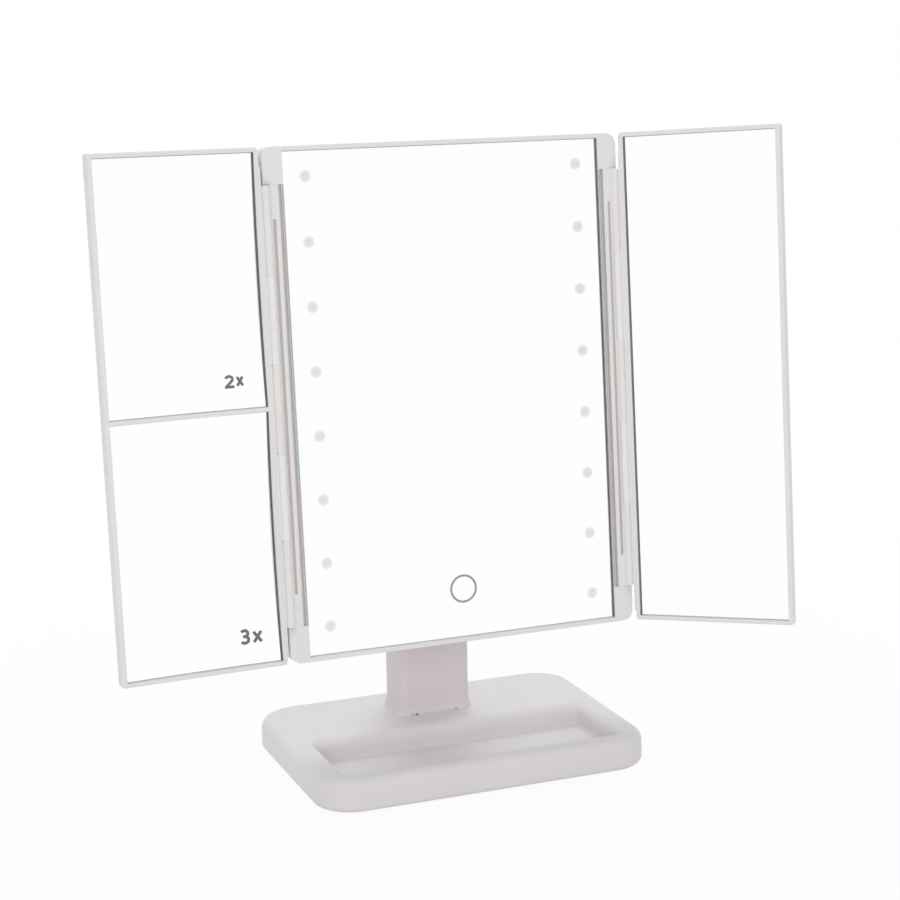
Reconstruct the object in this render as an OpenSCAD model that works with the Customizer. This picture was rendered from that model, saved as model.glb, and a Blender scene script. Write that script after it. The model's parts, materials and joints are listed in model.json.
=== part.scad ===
// Trifold vanity mirror with a lit centre panel, two hinged wings and a tray base.
// Millimetres. +Z is up, the front looks along -Y.
// The origin is on the ground under the middle of the base.

/* [Base] */
// overall width of the base slab
base_w = 162.2; // [140:0.1:190]
// overall depth of the base slab
base_d = 113.8; // [95:0.1:130]
// height of the base top above the ground
base_top = 16; // [12:0.5:20]
// plan corner radius of the base
base_r = 19; // [12:0.5:25]
// rounding along the top edge of the base
base_edge = 5.4; // [3:0.1:6]
// rounding along the bottom edge of the base
base_low = 2.8; // [1:0.1:4]
// wall thickness of the base shell
base_wall = 2.4; // [1.8:0.1:3]
// thickness of the anti-slip pad that lifts the shell
foot_lift = 0.6; // [0.4:0.1:2]

/* [Tray] */
// width of the tray opening at the top
tray_w = 144; // [120:0.5:150]
// front edge of the tray opening
tray_front = -49.8; // [-52:0.1:-40]
// back edge of the tray opening
tray_back = 4.2; // [0:0.1:8]
// depth of the tray
tray_depth = 11; // [8:0.5:11.4]
// rounding of the tray lip
tray_lip = 5; // [2:0.5:6]

/* [Stem] */
// width of the stem
stem_w = 36; // [30:0.5:40]
// depth of the stem
stem_d = 24; // [20:0.5:28]
// front face of the stem behind the origin
stem_front = 16.7; // [14:0.1:22]
// corner radius of the stem
stem_r = 4.5; // [3:0.5:6]
// height of the square part of the stem above the ground
stem_top = 80.5; // [70:0.5:88]

/* [Tilt] */
// backward lean of the mirror as photographed, in degrees
tilt = 5; // [0:0.5:15]
// tilt axis behind the origin
axis_y = 12; // [10:0.5:16]
// tilt axis above the ground
axis_z = 96.5; // [92:0.5:104]
// radius of the tilt bolt
bolt_r = 2.5; // [2:0.1:3]

/* [Centre panel] */
// height of the centre opening
open_h = 225.4; // [200:0.1:240]
// half width of the centre opening
open_x = 75.8; // [70:0.1:80]
// half width of the whole centre housing
case_x = 85; // [80:0.1:90]
// width of the rim above and below the glass
rim = 2; // [1.6:0.1:3]
// depth of the glass behind the rim
recess = 1.9; // [1:0.1:3]
// thickness of the front frame behind the glass face
frame_back = 6; // [5.5:0.1:8]
// back face of the housing behind the glass face
case_back = 14.1; // [13:0.1:18]
// height of the lower glass edge above the ground, at the front
panel_z = 64.9; // [60:0.1:70]
// distance of the lower glass edge in front of the origin
panel_y = 23.3; // [20:0.1:27]
// outer corner radius of the housing
case_r = 5; // [3:0.5:6]

/* [Lights] */
// distance of each row of lights from the middle
led_x = 65.1; // [60:0.1:68]
// height of the lowest light above the lower glass edge
led_low = 12.9; // [10:0.1:16]
// distance of the highest light below the upper glass edge
led_high = 11.4; // [10:0.1:16]
// number of lights in a row
led_n = 8; // [4:1:9]
// height of the touch ring centre above the glass edge
ring_z = 22.5; // [18:0.5:28]

/* [Wings] */
// forward turn of the left wing from flat, in degrees
left_turn = 3.6; // [0:0.2:60]
// forward turn of the right wing from flat, in degrees
right_turn = 44.6; // [0:0.2:60]
// hinge axis from the middle of the panel
hinge_x = 83.8; // [83.5:0.1:84.2]
// edge of each wing beyond the hinge axis
wing_start = 2.6; // [2.6:0.1:4]
// width of the wing opening
wing_w = 71.85; // [60:0.05:75]
// thickness of the left wing
left_t = 7.6; // [7:0.1:9]
// thickness of the right wing
right_t = 6; // [5.5:0.1:8]
// centre height of the bar between the two magnifying mirrors
bar_z = 113.2; // [100:0.1:125]

/* [Hidden] */
$fn = 48;
e = 0.01;
shell_h = base_top - foot_lift;
pad_in_x = 23.1;
pad_in_y = 6.9;
pad_corner = 8;
floor_t = 2;
boss_r = 3.2;
boss_in_x = 15.1;
boss_in_y = 6.9;
roof = 2.4;
floor_gap = 0.2;
tray_half = tray_w / 2 - tray_lip;
tray_y0 = tray_front + tray_lip;
tray_y1 = tray_back - tray_lip;
tray_mid = (tray_y0 + tray_y1) / 2;
tray_r = 3;
tray_fillet = 2.4;
tub = 1.5;
cavity_x = base_w / 2 - base_wall;
cavity_y = base_d / 2 - base_wall;
stem_mid = stem_front + stem_d / 2;
stem_wall = 2.5;
stem_edge = 3;
foot_flare = 1.5;
flare_h = 6;
seam_x0 = -13.2;
seam_x1 = 10.1;
seam_h = 0.4;
seam_deep = 1.2;
seam_end = 1;
stem_floor = 9;
cap_t = 4;
window_in = 5;
window_low = 13;
window_high = 6;
cover_gap = 0.2;
knuckle_x = 10.7;
knuckle_r = 8;
knuckle_gap = 0.8;
lug_x = knuckle_x + knuckle_gap;
lug_t = 4.5;
washer_t = 0.5;
run_gap = 0.06;
screw_r = 1.2;
screw_clear = 1.5;
head_r = 2.6;
head_t = 1.6;
glass_t = 2;
glass_gap = 0.35;
tape_t = 0.2;
tape_w = 12;
tape_step = 25;
tape_cross_w = 36;
tape_cross_h = 8;
tape_ring_gap = 16;
tape_wing_w = 10;
tape_end = 8;
frame_floor = 1.5;
floor_y = glass_t + tape_t;
board_t = 1.2;
inner_wall = 0.9;
slot_w = 1.5;
slot_deep = 2.4;
slot_x0 = open_x + inner_wall;
slot_x1 = slot_x0 + slot_w;
side_gap = 0.1;
strip_x = case_x - side_gap;
strip_low = 14.7;
strip_high = 14.4;
strip_z0 = strip_low;
strip_z1 = open_h - strip_high;
strip_gap = 0.15;
strip_back = 3.8;
groove_w = 1.4;
groove_in = 1.8;
groove_x = slot_x1 + groove_in + groove_w / 2;
groove_end = 15;
groove_z0 = strip_z0 + groove_end;
groove_z1 = strip_z1 - groove_end;
groove_deep = 1.5;
bumper_t = 0.8;
bead_r = 1.8;
pin_r = 0.7;
pin_gap = 0.05;
leaf_t = 0.5;
wing_a = wing_start + rim;
leaf_s1 = wing_start;
leaf_s0 = leaf_s1 - leaf_t;
leaf_front = 0.3;
leaf_deep = 5;
leaf_low = 2.5;
leaf_high = 6.5;
knuckle_n = 5;
knuckle_len = (strip_z1 - strip_z0) / knuckle_n;
knuckle_cuts = [for (i = [1:knuckle_n - 1]) strip_z0 + i * knuckle_len];
knuckle_side = 0.3;
sweep_gap = 0.3;
strap_deep = 3;
leaf_screw_r = 0.7;
leaf_head_r = 1.2;
leaf_head_t = 0.25;
leaf_head_gap = 0.05;
leaf_head_s = leaf_s0 + leaf_head_t + leaf_head_gap;
leaf_hole_s = wing_a - 0.2;
leaf_screw_len = leaf_hole_s - 0.1 - leaf_head_s;
wing_set = 0.6;
pane_y = wing_set + recess;
wing_s1 = wing_a + wing_w + rim;
back_left = 1.6;
back_right = 1.7;
bar_t = 1.9;
wing_r = 1;
radius_2x = 1000;
radius_3x = 750;
cell_r = 7.15;
cell_body = 49;
cell_nub = 1.4;
nub_r = 2.7;
cell_pitch = 15.6;
cell_side = 0.9;
cell_gap = 0.05;
spring_len = 3.5;
contact_t = 0.4;
tray_floor = 1.8;
tray_wall = 1.2;
cell_z = 81.5;
door_t = 1.6;
door_gap = 0.3;
tongue = 1.2;
tongue_t = 0.4;
pod_wall = 2;
pod_edge = 2;

// ---------- shared shapes ----------

// outline from the middle out to half, with rounded far corners
module edge_outline(half, deep, top_f, low_f, whole = false) {
  start = whole ? -half : 0;
  difference() {
    translate([start, 0]) square([half - start, deep]);
    for (s = whole ? [-1, 1] : [1]) {
      if (top_f > 0) translate([s * (half - top_f), deep - top_f]) difference() {
        translate([s > 0 ? 0 : -top_f - 1, 0]) square([top_f + 1, top_f + 1]);
        circle(top_f);
      }
      if (low_f > 0) translate([s * (half - low_f), low_f]) difference() {
        translate([s > 0 ? 0 : -low_f - 1, -low_f - 1]) square([low_f + 1, low_f + 1]);
        circle(low_f);
      }
    }
  }
}

// slab on the XY plane with round plan corners and rounded top and bottom edges
module slab(w, d, h, r, top_f = 0, low_f = 0) {
  for (x = [-1, 1], y = [-1, 1]) translate([x * (w / 2 - r), y * (d / 2 - r), 0])
    rotate_extrude() edge_outline(r, h, top_f, low_f);
  translate([0, d / 2 - r, 0]) rotate([90, 0, 0]) linear_extrude(d - 2 * r)
    edge_outline(w / 2, h, top_f, low_f, true);
  translate([-w / 2 + r, 0, 0]) rotate([90, 0, 90]) linear_extrude(w - 2 * r)
    edge_outline(d / 2, h, top_f, low_f, true);
}

// outline of a pocket with a round lip at the top and a fillet at the floor
module lip_outline(half, deep, lip, fillet, whole = false) {
  start = whole ? -half : 0;
  intersection() {
    edge_outline(half, deep + 1, 0, fillet, whole);
    translate([start, 0]) square([half - start, deep + 1]);
  }
  for (s = whole ? [-1, 1] : [1]) difference() {
    translate([s > 0 ? half - e : -half - lip, deep - lip]) square([lip + e, lip + 1]);
    translate([s * (half + lip), deep - lip]) circle(lip);
  }
}

// pocket cutter with round plan corners and an open lip
module pocket(w, d, deep, r, lip, fillet) {
  for (x = [-1, 1], y = [-1, 1]) translate([x * (w / 2 - r), y * (d / 2 - r), 0])
    rotate_extrude() lip_outline(r, deep, lip, fillet);
  translate([0, d / 2 - r, 0]) rotate([90, 0, 0]) linear_extrude(d - 2 * r)
    lip_outline(w / 2, deep, lip, fillet, true);
  translate([-w / 2 + r, 0, 0]) rotate([90, 0, 90]) linear_extrude(w - 2 * r)
    lip_outline(d / 2, deep, lip, fillet, true);
}

// box given by its low and high corners
module span(a, b) translate(a) cube(b - a);

// box with round corners seen from the front, from depth y0 to y1
module front_plate(x0, x1, z0, z1, y0, y1, r) {
  translate([(x0 + x1) / 2, y0, (z0 + z1) / 2]) rotate([-90, 0, 0]) slab(x1 - x0, z1 - z0, y1 - y0, r);
}

// screw along +Z, head underside at the origin
module screw(len, r = screw_r, hr = head_r, ht = head_t) {
  translate([0, 0, -len]) cylinder(h = len, r = r);
  difference() {
    cylinder(h = ht, r = hr);
    for (a = [0, 90]) rotate(a) translate([-hr * 0.55, -0.3, ht - 0.7]) cube([hr * 1.1, 0.6, 1]);
  }
}

// places children in the leaning panel: x across, y back from the glass, z up the glass
module in_panel() translate([0, -panel_y, panel_z]) rotate([-tilt, 0, 0]) children();

// places children on a wing: x outward from the hinge axis, y back, z up
module in_wing(side, turn) in_panel() translate([side * hinge_x, -recess, 0]) rotate([0, 0, -side * turn])
  children();

// wing box with the outward direction given by side
module wing_box(side, s0, s1, y0, y1, z0, z1)
  span([side > 0 ? s0 : -s1, y0, z0], [side > 0 ? s1 : -s0, y1, z1]);

module wing_plate(side, s0, s1, y0, y1, z0, z1, r)
  front_plate(side > 0 ? s0 : -s1, side > 0 ? s1 : -s0, z0, z1, y0, y1, r);

// ---------- base ----------

floor_z = foot_lift + floor_t;
floor_screws = [for (x = [-1, 1], y = [-1, 1]) [x * (base_w / 2 - boss_in_x), y * (base_d / 2 - boss_in_y)]];
stem_screws_at = [for (x = [-1, 1], y = [-1, 1]) [x * (stem_w / 2 - 8), stem_mid + y * (stem_d / 2 - 5)]];
sink_t = 6;
floor_screw_len = 7;
stem_screw_len = 12;
floor_head_t = 0.8;
weight_t = 6;
weight_y0 = stem_front + stem_d + 1;
weight_y1 = cavity_y - 1;
weight_x = base_w / 2 - boss_in_x - boss_r - 1;

module base_shell() color([0.93, 0.91, 0.93]) difference() {
  translate([0, 0, foot_lift]) slab(base_w, base_d, shell_h, base_r, base_edge, base_low);
  difference() {
    translate([0, 0, foot_lift - 1]) slab(2 * cavity_x, 2 * cavity_y, shell_h + 1 - roof, base_r - base_wall,
      base_edge - base_wall);
    translate([0, tray_mid, floor_z])
      slab(2 * (tray_half + tub), tray_y1 - tray_y0 + 2 * tub, shell_h, tray_r + tub);
    for (p = floor_screws) translate([p[0], p[1], floor_z]) cylinder(h = shell_h, r = boss_r);
    for (p = stem_screws_at) translate([p[0], p[1], base_top - sink_t]) cylinder(h = sink_t, r = head_r + 1);
  }
  translate([0, tray_mid, base_top - tray_depth])
    pocket(2 * tray_half, tray_y1 - tray_y0, tray_depth, tray_r, tray_lip, tray_fillet);
  for (p = floor_screws) translate([p[0], p[1], floor_z - 1]) cylinder(h = floor_screw_len, r = screw_r);
  for (p = stem_screws_at) translate([p[0], p[1], base_top - sink_t - 1])
    cylinder(h = sink_t + 2, r = screw_clear);
}

module base_floor() color([0.85, 0.84, 0.86]) difference() {
  translate([0, 0, foot_lift]) slab(2 * (cavity_x - floor_gap), 2 * (cavity_y - floor_gap), floor_t,
    base_r - base_wall - floor_gap);
  for (p = floor_screws) translate([p[0], p[1], foot_lift - 1]) {
    cylinder(h = floor_t + 2, r = screw_clear);
    cylinder(h = 1 + floor_head_t + 0.1, r = head_r + 0.3);
  }
}

// anti-slip sheet glued under the floor
module base_pad() color([0.3, 0.3, 0.32])
  slab(base_w - 2 * pad_in_x, base_d - 2 * pad_in_y, foot_lift, pad_corner);

module base_weight() color([0.5, 0.5, 0.52])
  span([-weight_x, weight_y0, floor_z], [weight_x, weight_y1, floor_z + weight_t]);

module base_screws() color([0.6, 0.6, 0.62]) for (p = floor_screws)
  translate([p[0], p[1], foot_lift + floor_head_t + 0.1]) rotate([180, 0, 0])
    screw(floor_t + floor_screw_len - 3, screw_r, head_r, floor_head_t);

// ---------- stem ----------

cover_z0 = base_top + window_low;
cover_z1 = stem_top - window_high;
stem_back = stem_front + stem_d;
cover_t = 1.6;
clip_t = 1;
clip_w = 10;
clip_h = 3;

// half outline of the stem from its axis, flared at the foot and rounded at the top
function stem_side(half, h) = concat([[0, 0]],
  [for (i = [0:6]) [half + foot_flare * pow(1 - i / 6, 2), flare_h * i / 6]],
  [for (a = [0:15:90]) [half - stem_edge + stem_edge * cos(a), h - stem_edge + stem_edge * sin(a)]],
    [[0, h]]);

module stem_body(w, d, h, r) {
  for (x = [-1, 1], y = [-1, 1]) translate([x * (w / 2 - r), y * (d / 2 - r), 0]) rotate_extrude()
    polygon(stem_side(r, h));
  translate([0, d / 2 - r, 0]) rotate([90, 0, 0]) linear_extrude(d - 2 * r) polygon(stem_loop(w / 2, h));
  translate([-w / 2 + r, 0, 0]) rotate([90, 0, 90]) linear_extrude(w - 2 * r) polygon(stem_loop(d / 2, h));
}

// whole outline, up one side and down the other
function stem_loop(half, h) = let (a = stem_side(half, h), n = len(a) - 1)
  concat([for (i = [1:n - 1]) a[i]], [for (i = [n - 1:-1:1]) [-a[i][0], a[i][1]]]);

module stem_post() color([0.86, 0.84, 0.85]) difference() {
  union() {
    difference() {
      translate([0, stem_mid, base_top]) stem_body(stem_w, stem_d, stem_top - base_top, stem_r);
      translate([0, stem_mid, base_top + stem_floor]) slab(stem_w - 2 * stem_wall, stem_d - 2 * stem_wall,
        stem_top - base_top - stem_floor - cap_t, stem_r - stem_wall);
      span([-stem_w / 2 + window_in, stem_back - stem_wall - 1, cover_z0],
        [stem_w / 2 - window_in, stem_back + 1, cover_z1]);
    }
    translate([-knuckle_x, 0, 0]) rotate([90, 0, 90]) linear_extrude(2 * knuckle_x) {
      translate([axis_y, axis_z]) circle(knuckle_r);
      polygon([[stem_front + 1, stem_top - 2], [stem_back - 2, stem_top - 2], [stem_back - 3, stem_top + 2],
        [(axis_y + stem_back) / 2 + 1, (axis_z + stem_top) / 2 + 5], [axis_y + 4, axis_z + knuckle_r * 0.86],
        [axis_y, axis_z], [axis_y - 5, axis_z - knuckle_r * 0.77]]);
    }
  }
  translate([-lug_x, axis_y, axis_z]) rotate([0, 90, 0]) cylinder(h = 2 * lug_x, r = bolt_r + run_gap);
  for (p = stem_screws_at) translate([p[0], p[1], base_top - 1]) cylinder(h = stem_floor, r = screw_r);
  span([seam_x0, stem_front - foot_flare - 1, base_top - 1],
    [seam_x1, stem_front - foot_flare + seam_deep, base_top + seam_h]);
  for (x = [seam_x0, seam_x1 - seam_end])
    span([x, stem_front - foot_flare - 1, base_top - 1],
      [x + seam_end, stem_front - foot_flare + seam_deep, base_top + 2 * seam_h]);
}

module stem_cover() color([0.86, 0.84, 0.85]) {
  x = stem_w / 2 - window_in - cover_gap;
  span([-x, stem_back - cover_t, cover_z0 + cover_gap], [x, stem_back, cover_z1 - cover_gap]);
  for (z = [cover_z0 + cover_gap, cover_z1 - cover_gap - clip_h])
    span([-clip_w / 2, stem_back - stem_wall - clip_t, z], [clip_w / 2, stem_back - cover_t + e, z + clip_h]);
}

module stem_screws() color([0.6, 0.6, 0.62]) for (p = stem_screws_at)
  translate([p[0], p[1], base_top - sink_t]) rotate([180, 0, 0]) screw(stem_screw_len);

// ---------- tilt joint, on the panel side ----------

axis_deep = cos(tilt) * (axis_y + panel_y) - sin(tilt) * (axis_z - panel_z);
axis_up = cos(tilt) * (axis_z - panel_z) + sin(tilt) * (axis_y + panel_y);
plate_x = lug_x + lug_t + 8;
plate_t = 2.5;
plate_low = 15;
plate_high = 17;
plate_z0 = axis_up - plate_low;
plate_z1 = axis_up + plate_high;
bolt_head = 3.2;
bolt_head_r = 4.5;
nut_t = 4;
key_r = 2.2;
bracket_in = 5;
bracket_screw_len = 5.2;
bracket_at = [for (x = [-1, 1], z = [plate_z0 + bracket_in, plate_z1 - bracket_in])
  [x * (plate_x - bracket_in), z]];

module tilt_bracket() color([0.9, 0.89, 0.9]) in_panel() difference() {
  union() {
    front_plate(-plate_x, plate_x, plate_z0, plate_z1, case_back, case_back + plate_t, 4);
    for (x = [-lug_x - lug_t, lug_x]) translate([x, 0, 0]) rotate([90, 0, 90]) linear_extrude(lug_t) {
      translate([axis_deep, axis_up]) circle(knuckle_r);
      polygon([[case_back + 1, plate_z0 + 3], [case_back + plate_t + 2, plate_z0 + 3],
        [axis_deep + 1, axis_up - knuckle_r], [axis_deep + 1, axis_up + knuckle_r],
        [case_back + plate_t + 2, plate_z1 - 4], [case_back + 1, plate_z1 - 4]]);
    }
  }
  translate([-lug_x - lug_t - 1, axis_deep, axis_up]) rotate([0, 90, 0])
    cylinder(h = 2 * (lug_x + lug_t + 1), r = bolt_r);
  for (p = bracket_at) translate([p[0], case_back - 1, p[1]]) rotate([-90, 0, 0])
    cylinder(h = plate_t + 2, r = screw_clear);
}

module tilt_bolt() color([0.62, 0.62, 0.64])
  in_panel() translate([0, axis_deep, axis_up]) rotate([0, 90, 0]) {
  translate([0, 0, -lug_x - lug_t]) cylinder(h = 2 * (lug_x + lug_t) + nut_t, r = bolt_r);
  translate([0, 0, -lug_x - lug_t - bolt_head]) difference() {
    cylinder(h = bolt_head, r = bolt_head_r);
    translate([0, 0, -1]) cylinder(h = 2.8, r = key_r, $fn = 6);
  }
}

module tilt_nut() color([0.62, 0.62, 0.64])
  in_panel() translate([lug_x + lug_t, axis_deep, axis_up]) rotate([0, 90, 0]) difference() {
    cylinder(h = nut_t, r = bolt_head_r + 0.1, $fn = 6);
    translate([0, 0, -1]) cylinder(h = nut_t + 2, r = bolt_r);
  }

module tilt_washers() color([0.55, 0.55, 0.57]) in_panel() for (x = [-lug_x, lug_x - washer_t])
  translate([x, axis_deep, axis_up]) rotate([0, 90, 0]) difference() {
    cylinder(h = washer_t, r = knuckle_r - 1.5);
    translate([0, 0, -1]) cylinder(h = washer_t + 2, r = bolt_r);
  }

module bracket_screws() color([0.6, 0.6, 0.62]) in_panel() for (p = bracket_at)
  translate([p[0], case_back + plate_t, p[1]]) rotate([-90, 0, 0]) screw(bracket_screw_len);

// ---------- centre panel ----------

led_step = (open_h - led_low - led_high) / (led_n - 1);
led_at = [for (x = [-1, 1], i = [0:led_n - 1]) [x * led_x, led_low + i * led_step]];
cover_side = 10.5;
cover_end = 8;
cover_at = [for (x = [-1, 1], z = [cover_end, open_h / 2, open_h - cover_end])
  [x * (case_x - cover_side), z]];
board_x = 30;
board_z0 = 2.2;
board_z1 = 40;
board_y = 8.4;
board_back = board_y + board_t;
post_r = 2.4;
post_in = 3;
post_at = [for (x = [-1, 1], z = [board_z0 + post_in, board_z1 - post_in]) [x * (board_x - post_in), z]];
window_r = 3.4;
window_t = 1;
rail_w = 1.2;
rail_at = window_r + 0.5 + rail_w / 2;
rail_h = 12;
led_board_w = 9;
led_board_y = 5.4;
led_board_end = 4;
chip_t = 1.4;
chip_w = 3.5;
pad_r = 9;
pad_hole = 6;
spring_wire = 0.56;
coil_n = 6;
coil_step = (board_y - floor_y - 2 * spring_wire - 0.1) / (coil_n - 1);
usb_x0 = -26;
usb_w = 8;
usb_h = 2.6;
usb_in = 7;

module centre_frame() color([0.9, 0.9, 0.9]) in_panel() difference() {
  union() {
    difference() {
      front_plate(-case_x, case_x, -rim, open_h + rim, -recess, frame_back, case_r);
      span([-open_x, -recess - 1, 0], [open_x, floor_y, open_h]);
      span([-open_x + 0.5, floor_y + frame_floor, 0.6], [open_x - 0.5, frame_back + 1, open_h - 0.6]);
      for (s = [-1, 1]) {
        span([s > 0 ? slot_x0 : -slot_x1 - e, -recess - 1, strip_z0],
          [s > 0 ? slot_x1 + e : -slot_x0, slot_deep - recess, strip_z1]);
        span([s > 0 ? slot_x1 : -case_x - 1, -recess - 1, strip_z0],
          [s > 0 ? case_x + 1 : -slot_x1, strip_back, strip_z1]);
      }
    }
    for (p = led_at, s = [-1, 1]) translate([p[0] + s * rail_at, 0, p[1]])
      span([-rail_w / 2, floor_y + frame_floor - e, -rail_h / 2], [rail_w / 2, led_board_y, rail_h / 2]);
    for (p = post_at) translate([p[0], floor_y + 0.5, p[1]]) rotate([-90, 0, 0])
      cylinder(h = board_y - floor_y - 0.5, r = post_r);
    for (p = cover_at) translate([p[0], floor_y + 0.5, p[1]]) rotate([-90, 0, 0])
      cylinder(h = frame_back - floor_y - 0.5, r = head_r + 0.4);
  }
  for (p = led_at) translate([p[0], floor_y - 1, p[1]]) rotate([-90, 0, 0])
    cylinder(h = frame_floor + 2, r = window_r);
  translate([0, floor_y - 1, ring_z]) rotate([-90, 0, 0]) cylinder(h = frame_floor + 2, r = pad_hole);
  for (p = cover_at) translate([p[0], floor_y + 0.8, p[1]]) rotate([-90, 0, 0])
    cylinder(h = frame_back, r = screw_r);
}

module centre_glass() color([0.8, 0.84, 0.88]) in_panel()
  span([-open_x + glass_gap, 0, glass_gap], [open_x - glass_gap, glass_t, open_h - glass_gap]);

module glass_tape() color([0.2, 0.2, 0.2]) in_panel() {
  for (i = [-2, -1, 1, 2]) translate([i * tape_step, 0, 0])
    span([-tape_w / 2, glass_t, led_low], [tape_w / 2, floor_y, open_h - led_high]);
  for (z = [ring_z + pad_r + tape_ring_gap, open_h - led_high - tape_cross_h])
    span([-tape_cross_w / 2, glass_t, z], [tape_cross_w / 2, floor_y, z + tape_cross_h]);
}

module hinge_strips() color([0.9, 0.9, 0.9]) in_panel() for (s = [-1, 1]) difference() {
  union() {
    span([s > 0 ? slot_x1 : -strip_x, -recess, strip_z0 + strip_gap],
      [s > 0 ? strip_x : -slot_x1, strip_back, strip_z1 - strip_gap]);
    translate([s * hinge_x, -recess, strip_z0 + strip_gap])
      cylinder(h = strip_z1 - strip_z0 - 2 * strip_gap, r = bead_r);
  }
  span([s * groove_x - groove_w / 2, -recess - 1, groove_z0],
    [s * groove_x + groove_w / 2, -recess + groove_deep, groove_z1]);
  for (k = [0, 2]) {
    translate([s * hinge_x, -recess, knuckle_cuts[k]]) cylinder(h = knuckle_len, r = bead_r + sweep_gap);
    span([s > 0 ? hinge_x : -case_x - 1, -recess - bead_r - 1, knuckle_cuts[k]],
      [s > 0 ? case_x + 1 : -hinge_x, -recess + strap_deep, knuckle_cuts[k + 1]]);
  }
  translate([s * hinge_x, -recess, 0]) cylinder(h = open_h, r = pin_r);
}

module groove_inserts() color([0.66, 0.58, 0.56]) in_panel() for (s = [-1, 1])
  span([s * groove_x - groove_w / 2, -recess + groove_deep - bumper_t, groove_z0],
    [s * groove_x + groove_w / 2, -recess + groove_deep, groove_z1]);

module hinge_pins() color([0.62, 0.62, 0.64]) in_panel() for (s = [-1, 1])
  translate([s * hinge_x, -recess, strip_z0 + 0.5]) cylinder(h = strip_z1 - strip_z0 - 1, r = pin_r);

module light_windows() color([0.95, 0.95, 0.9]) in_panel() for (p = led_at)
  translate([p[0], glass_t, p[1]]) rotate([-90, 0, 0]) cylinder(h = window_t, r = window_r);

module led_boards() color([0.93, 0.93, 0.9]) in_panel() for (s = [-1, 1])
  span([s * led_x - led_board_w / 2, led_board_y, led_board_end],
    [s * led_x + led_board_w / 2, led_board_y + board_t, open_h - led_board_end]);

module led_chips() color([0.95, 0.9, 0.5]) in_panel() for (p = led_at)
  span([p[0] - chip_w / 2, led_board_y - chip_t, p[1] - chip_t],
    [p[0] + chip_w / 2, led_board_y, p[1] + chip_t]);

// sensing disc behind the glass with its contact spring
module touch_pad() color([0.75, 0.5, 0.3]) in_panel() {
  translate([0, glass_t, ring_z]) rotate([-90, 0, 0]) cylinder(h = tape_t, r = pad_r);
  for (i = [0:coil_n - 1]) translate([0, glass_t + spring_wire + 0.05 + i * coil_step, ring_z])
    rotate([-90, 0, 0]) rotate_extrude() translate([3.5, 0]) circle(spring_wire, $fn = 16);
  translate([0, floor_y - e, ring_z]) rotate([-90, 0, 0])
    cylinder(h = board_y - floor_y + e, r = spring_wire);
}

module control_board() color([0.1, 0.35, 0.2]) in_panel()
  span([-board_x, board_y, board_z0], [board_x, board_back, board_z1]);

// left edge, lower edge, width and height of each part on the control board
parts_at = [[-4, 10, 8, 6], [8, 8, 5, 5], [8, 24, 4, 7], [-14, 24, 6, 4], [-2, 26, 5, 5]];
parts_t = 1.6;

module board_parts() color([0.15, 0.15, 0.15]) in_panel() for (q = parts_at)
  span([q[0], board_back, board_z0 + q[1]], [q[0] + q[2], board_back + parts_t, board_z0 + q[1] + q[3]]);

module usb_socket() color([0.7, 0.7, 0.72]) in_panel() difference() {
  span([usb_x0, board_back, 0.4 - rim], [usb_x0 + usb_w, board_back + usb_h, usb_in]);
  span([usb_x0 + 0.5, board_back + 0.4, -rim - 1],
    [usb_x0 + usb_w - 0.5, board_back + usb_h - 0.4, usb_in - 2]);
}

// ---------- back cover and battery box ----------

cover_wall = 1.8;
tray_x = (2 * (cell_body + cell_nub) + spring_len) / 2 + contact_t;
cell_z_at = [cell_z - cell_pitch / 2, cell_z + cell_pitch / 2];
tray_z0 = cell_z_at[0] - cell_r - cell_side - tray_wall;
tray_z1 = cell_z_at[1] + cell_r + cell_side + tray_wall;
tray_front_y = case_back - cover_wall - 4;
cell_y = tray_front_y + tray_floor + cell_r;
tray_back_y = cell_y + 3;
tray_out_x = tray_x + tray_wall;
bay_gap = 0.2;
door_in = cell_y + cell_r + 0.5;
pod_y = door_in + door_t;
door_x = tray_x;
door_z0 = tray_z0 + 1;
door_z1 = tray_z1 + 1;
pod_x = tray_out_x + bay_gap + pod_wall + 1;
pod_z0 = tray_z0 - bay_gap - pod_wall;
pod_z1 = tray_z1 + bay_gap + pod_wall;
boss_front = board_back + 0.7;

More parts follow.
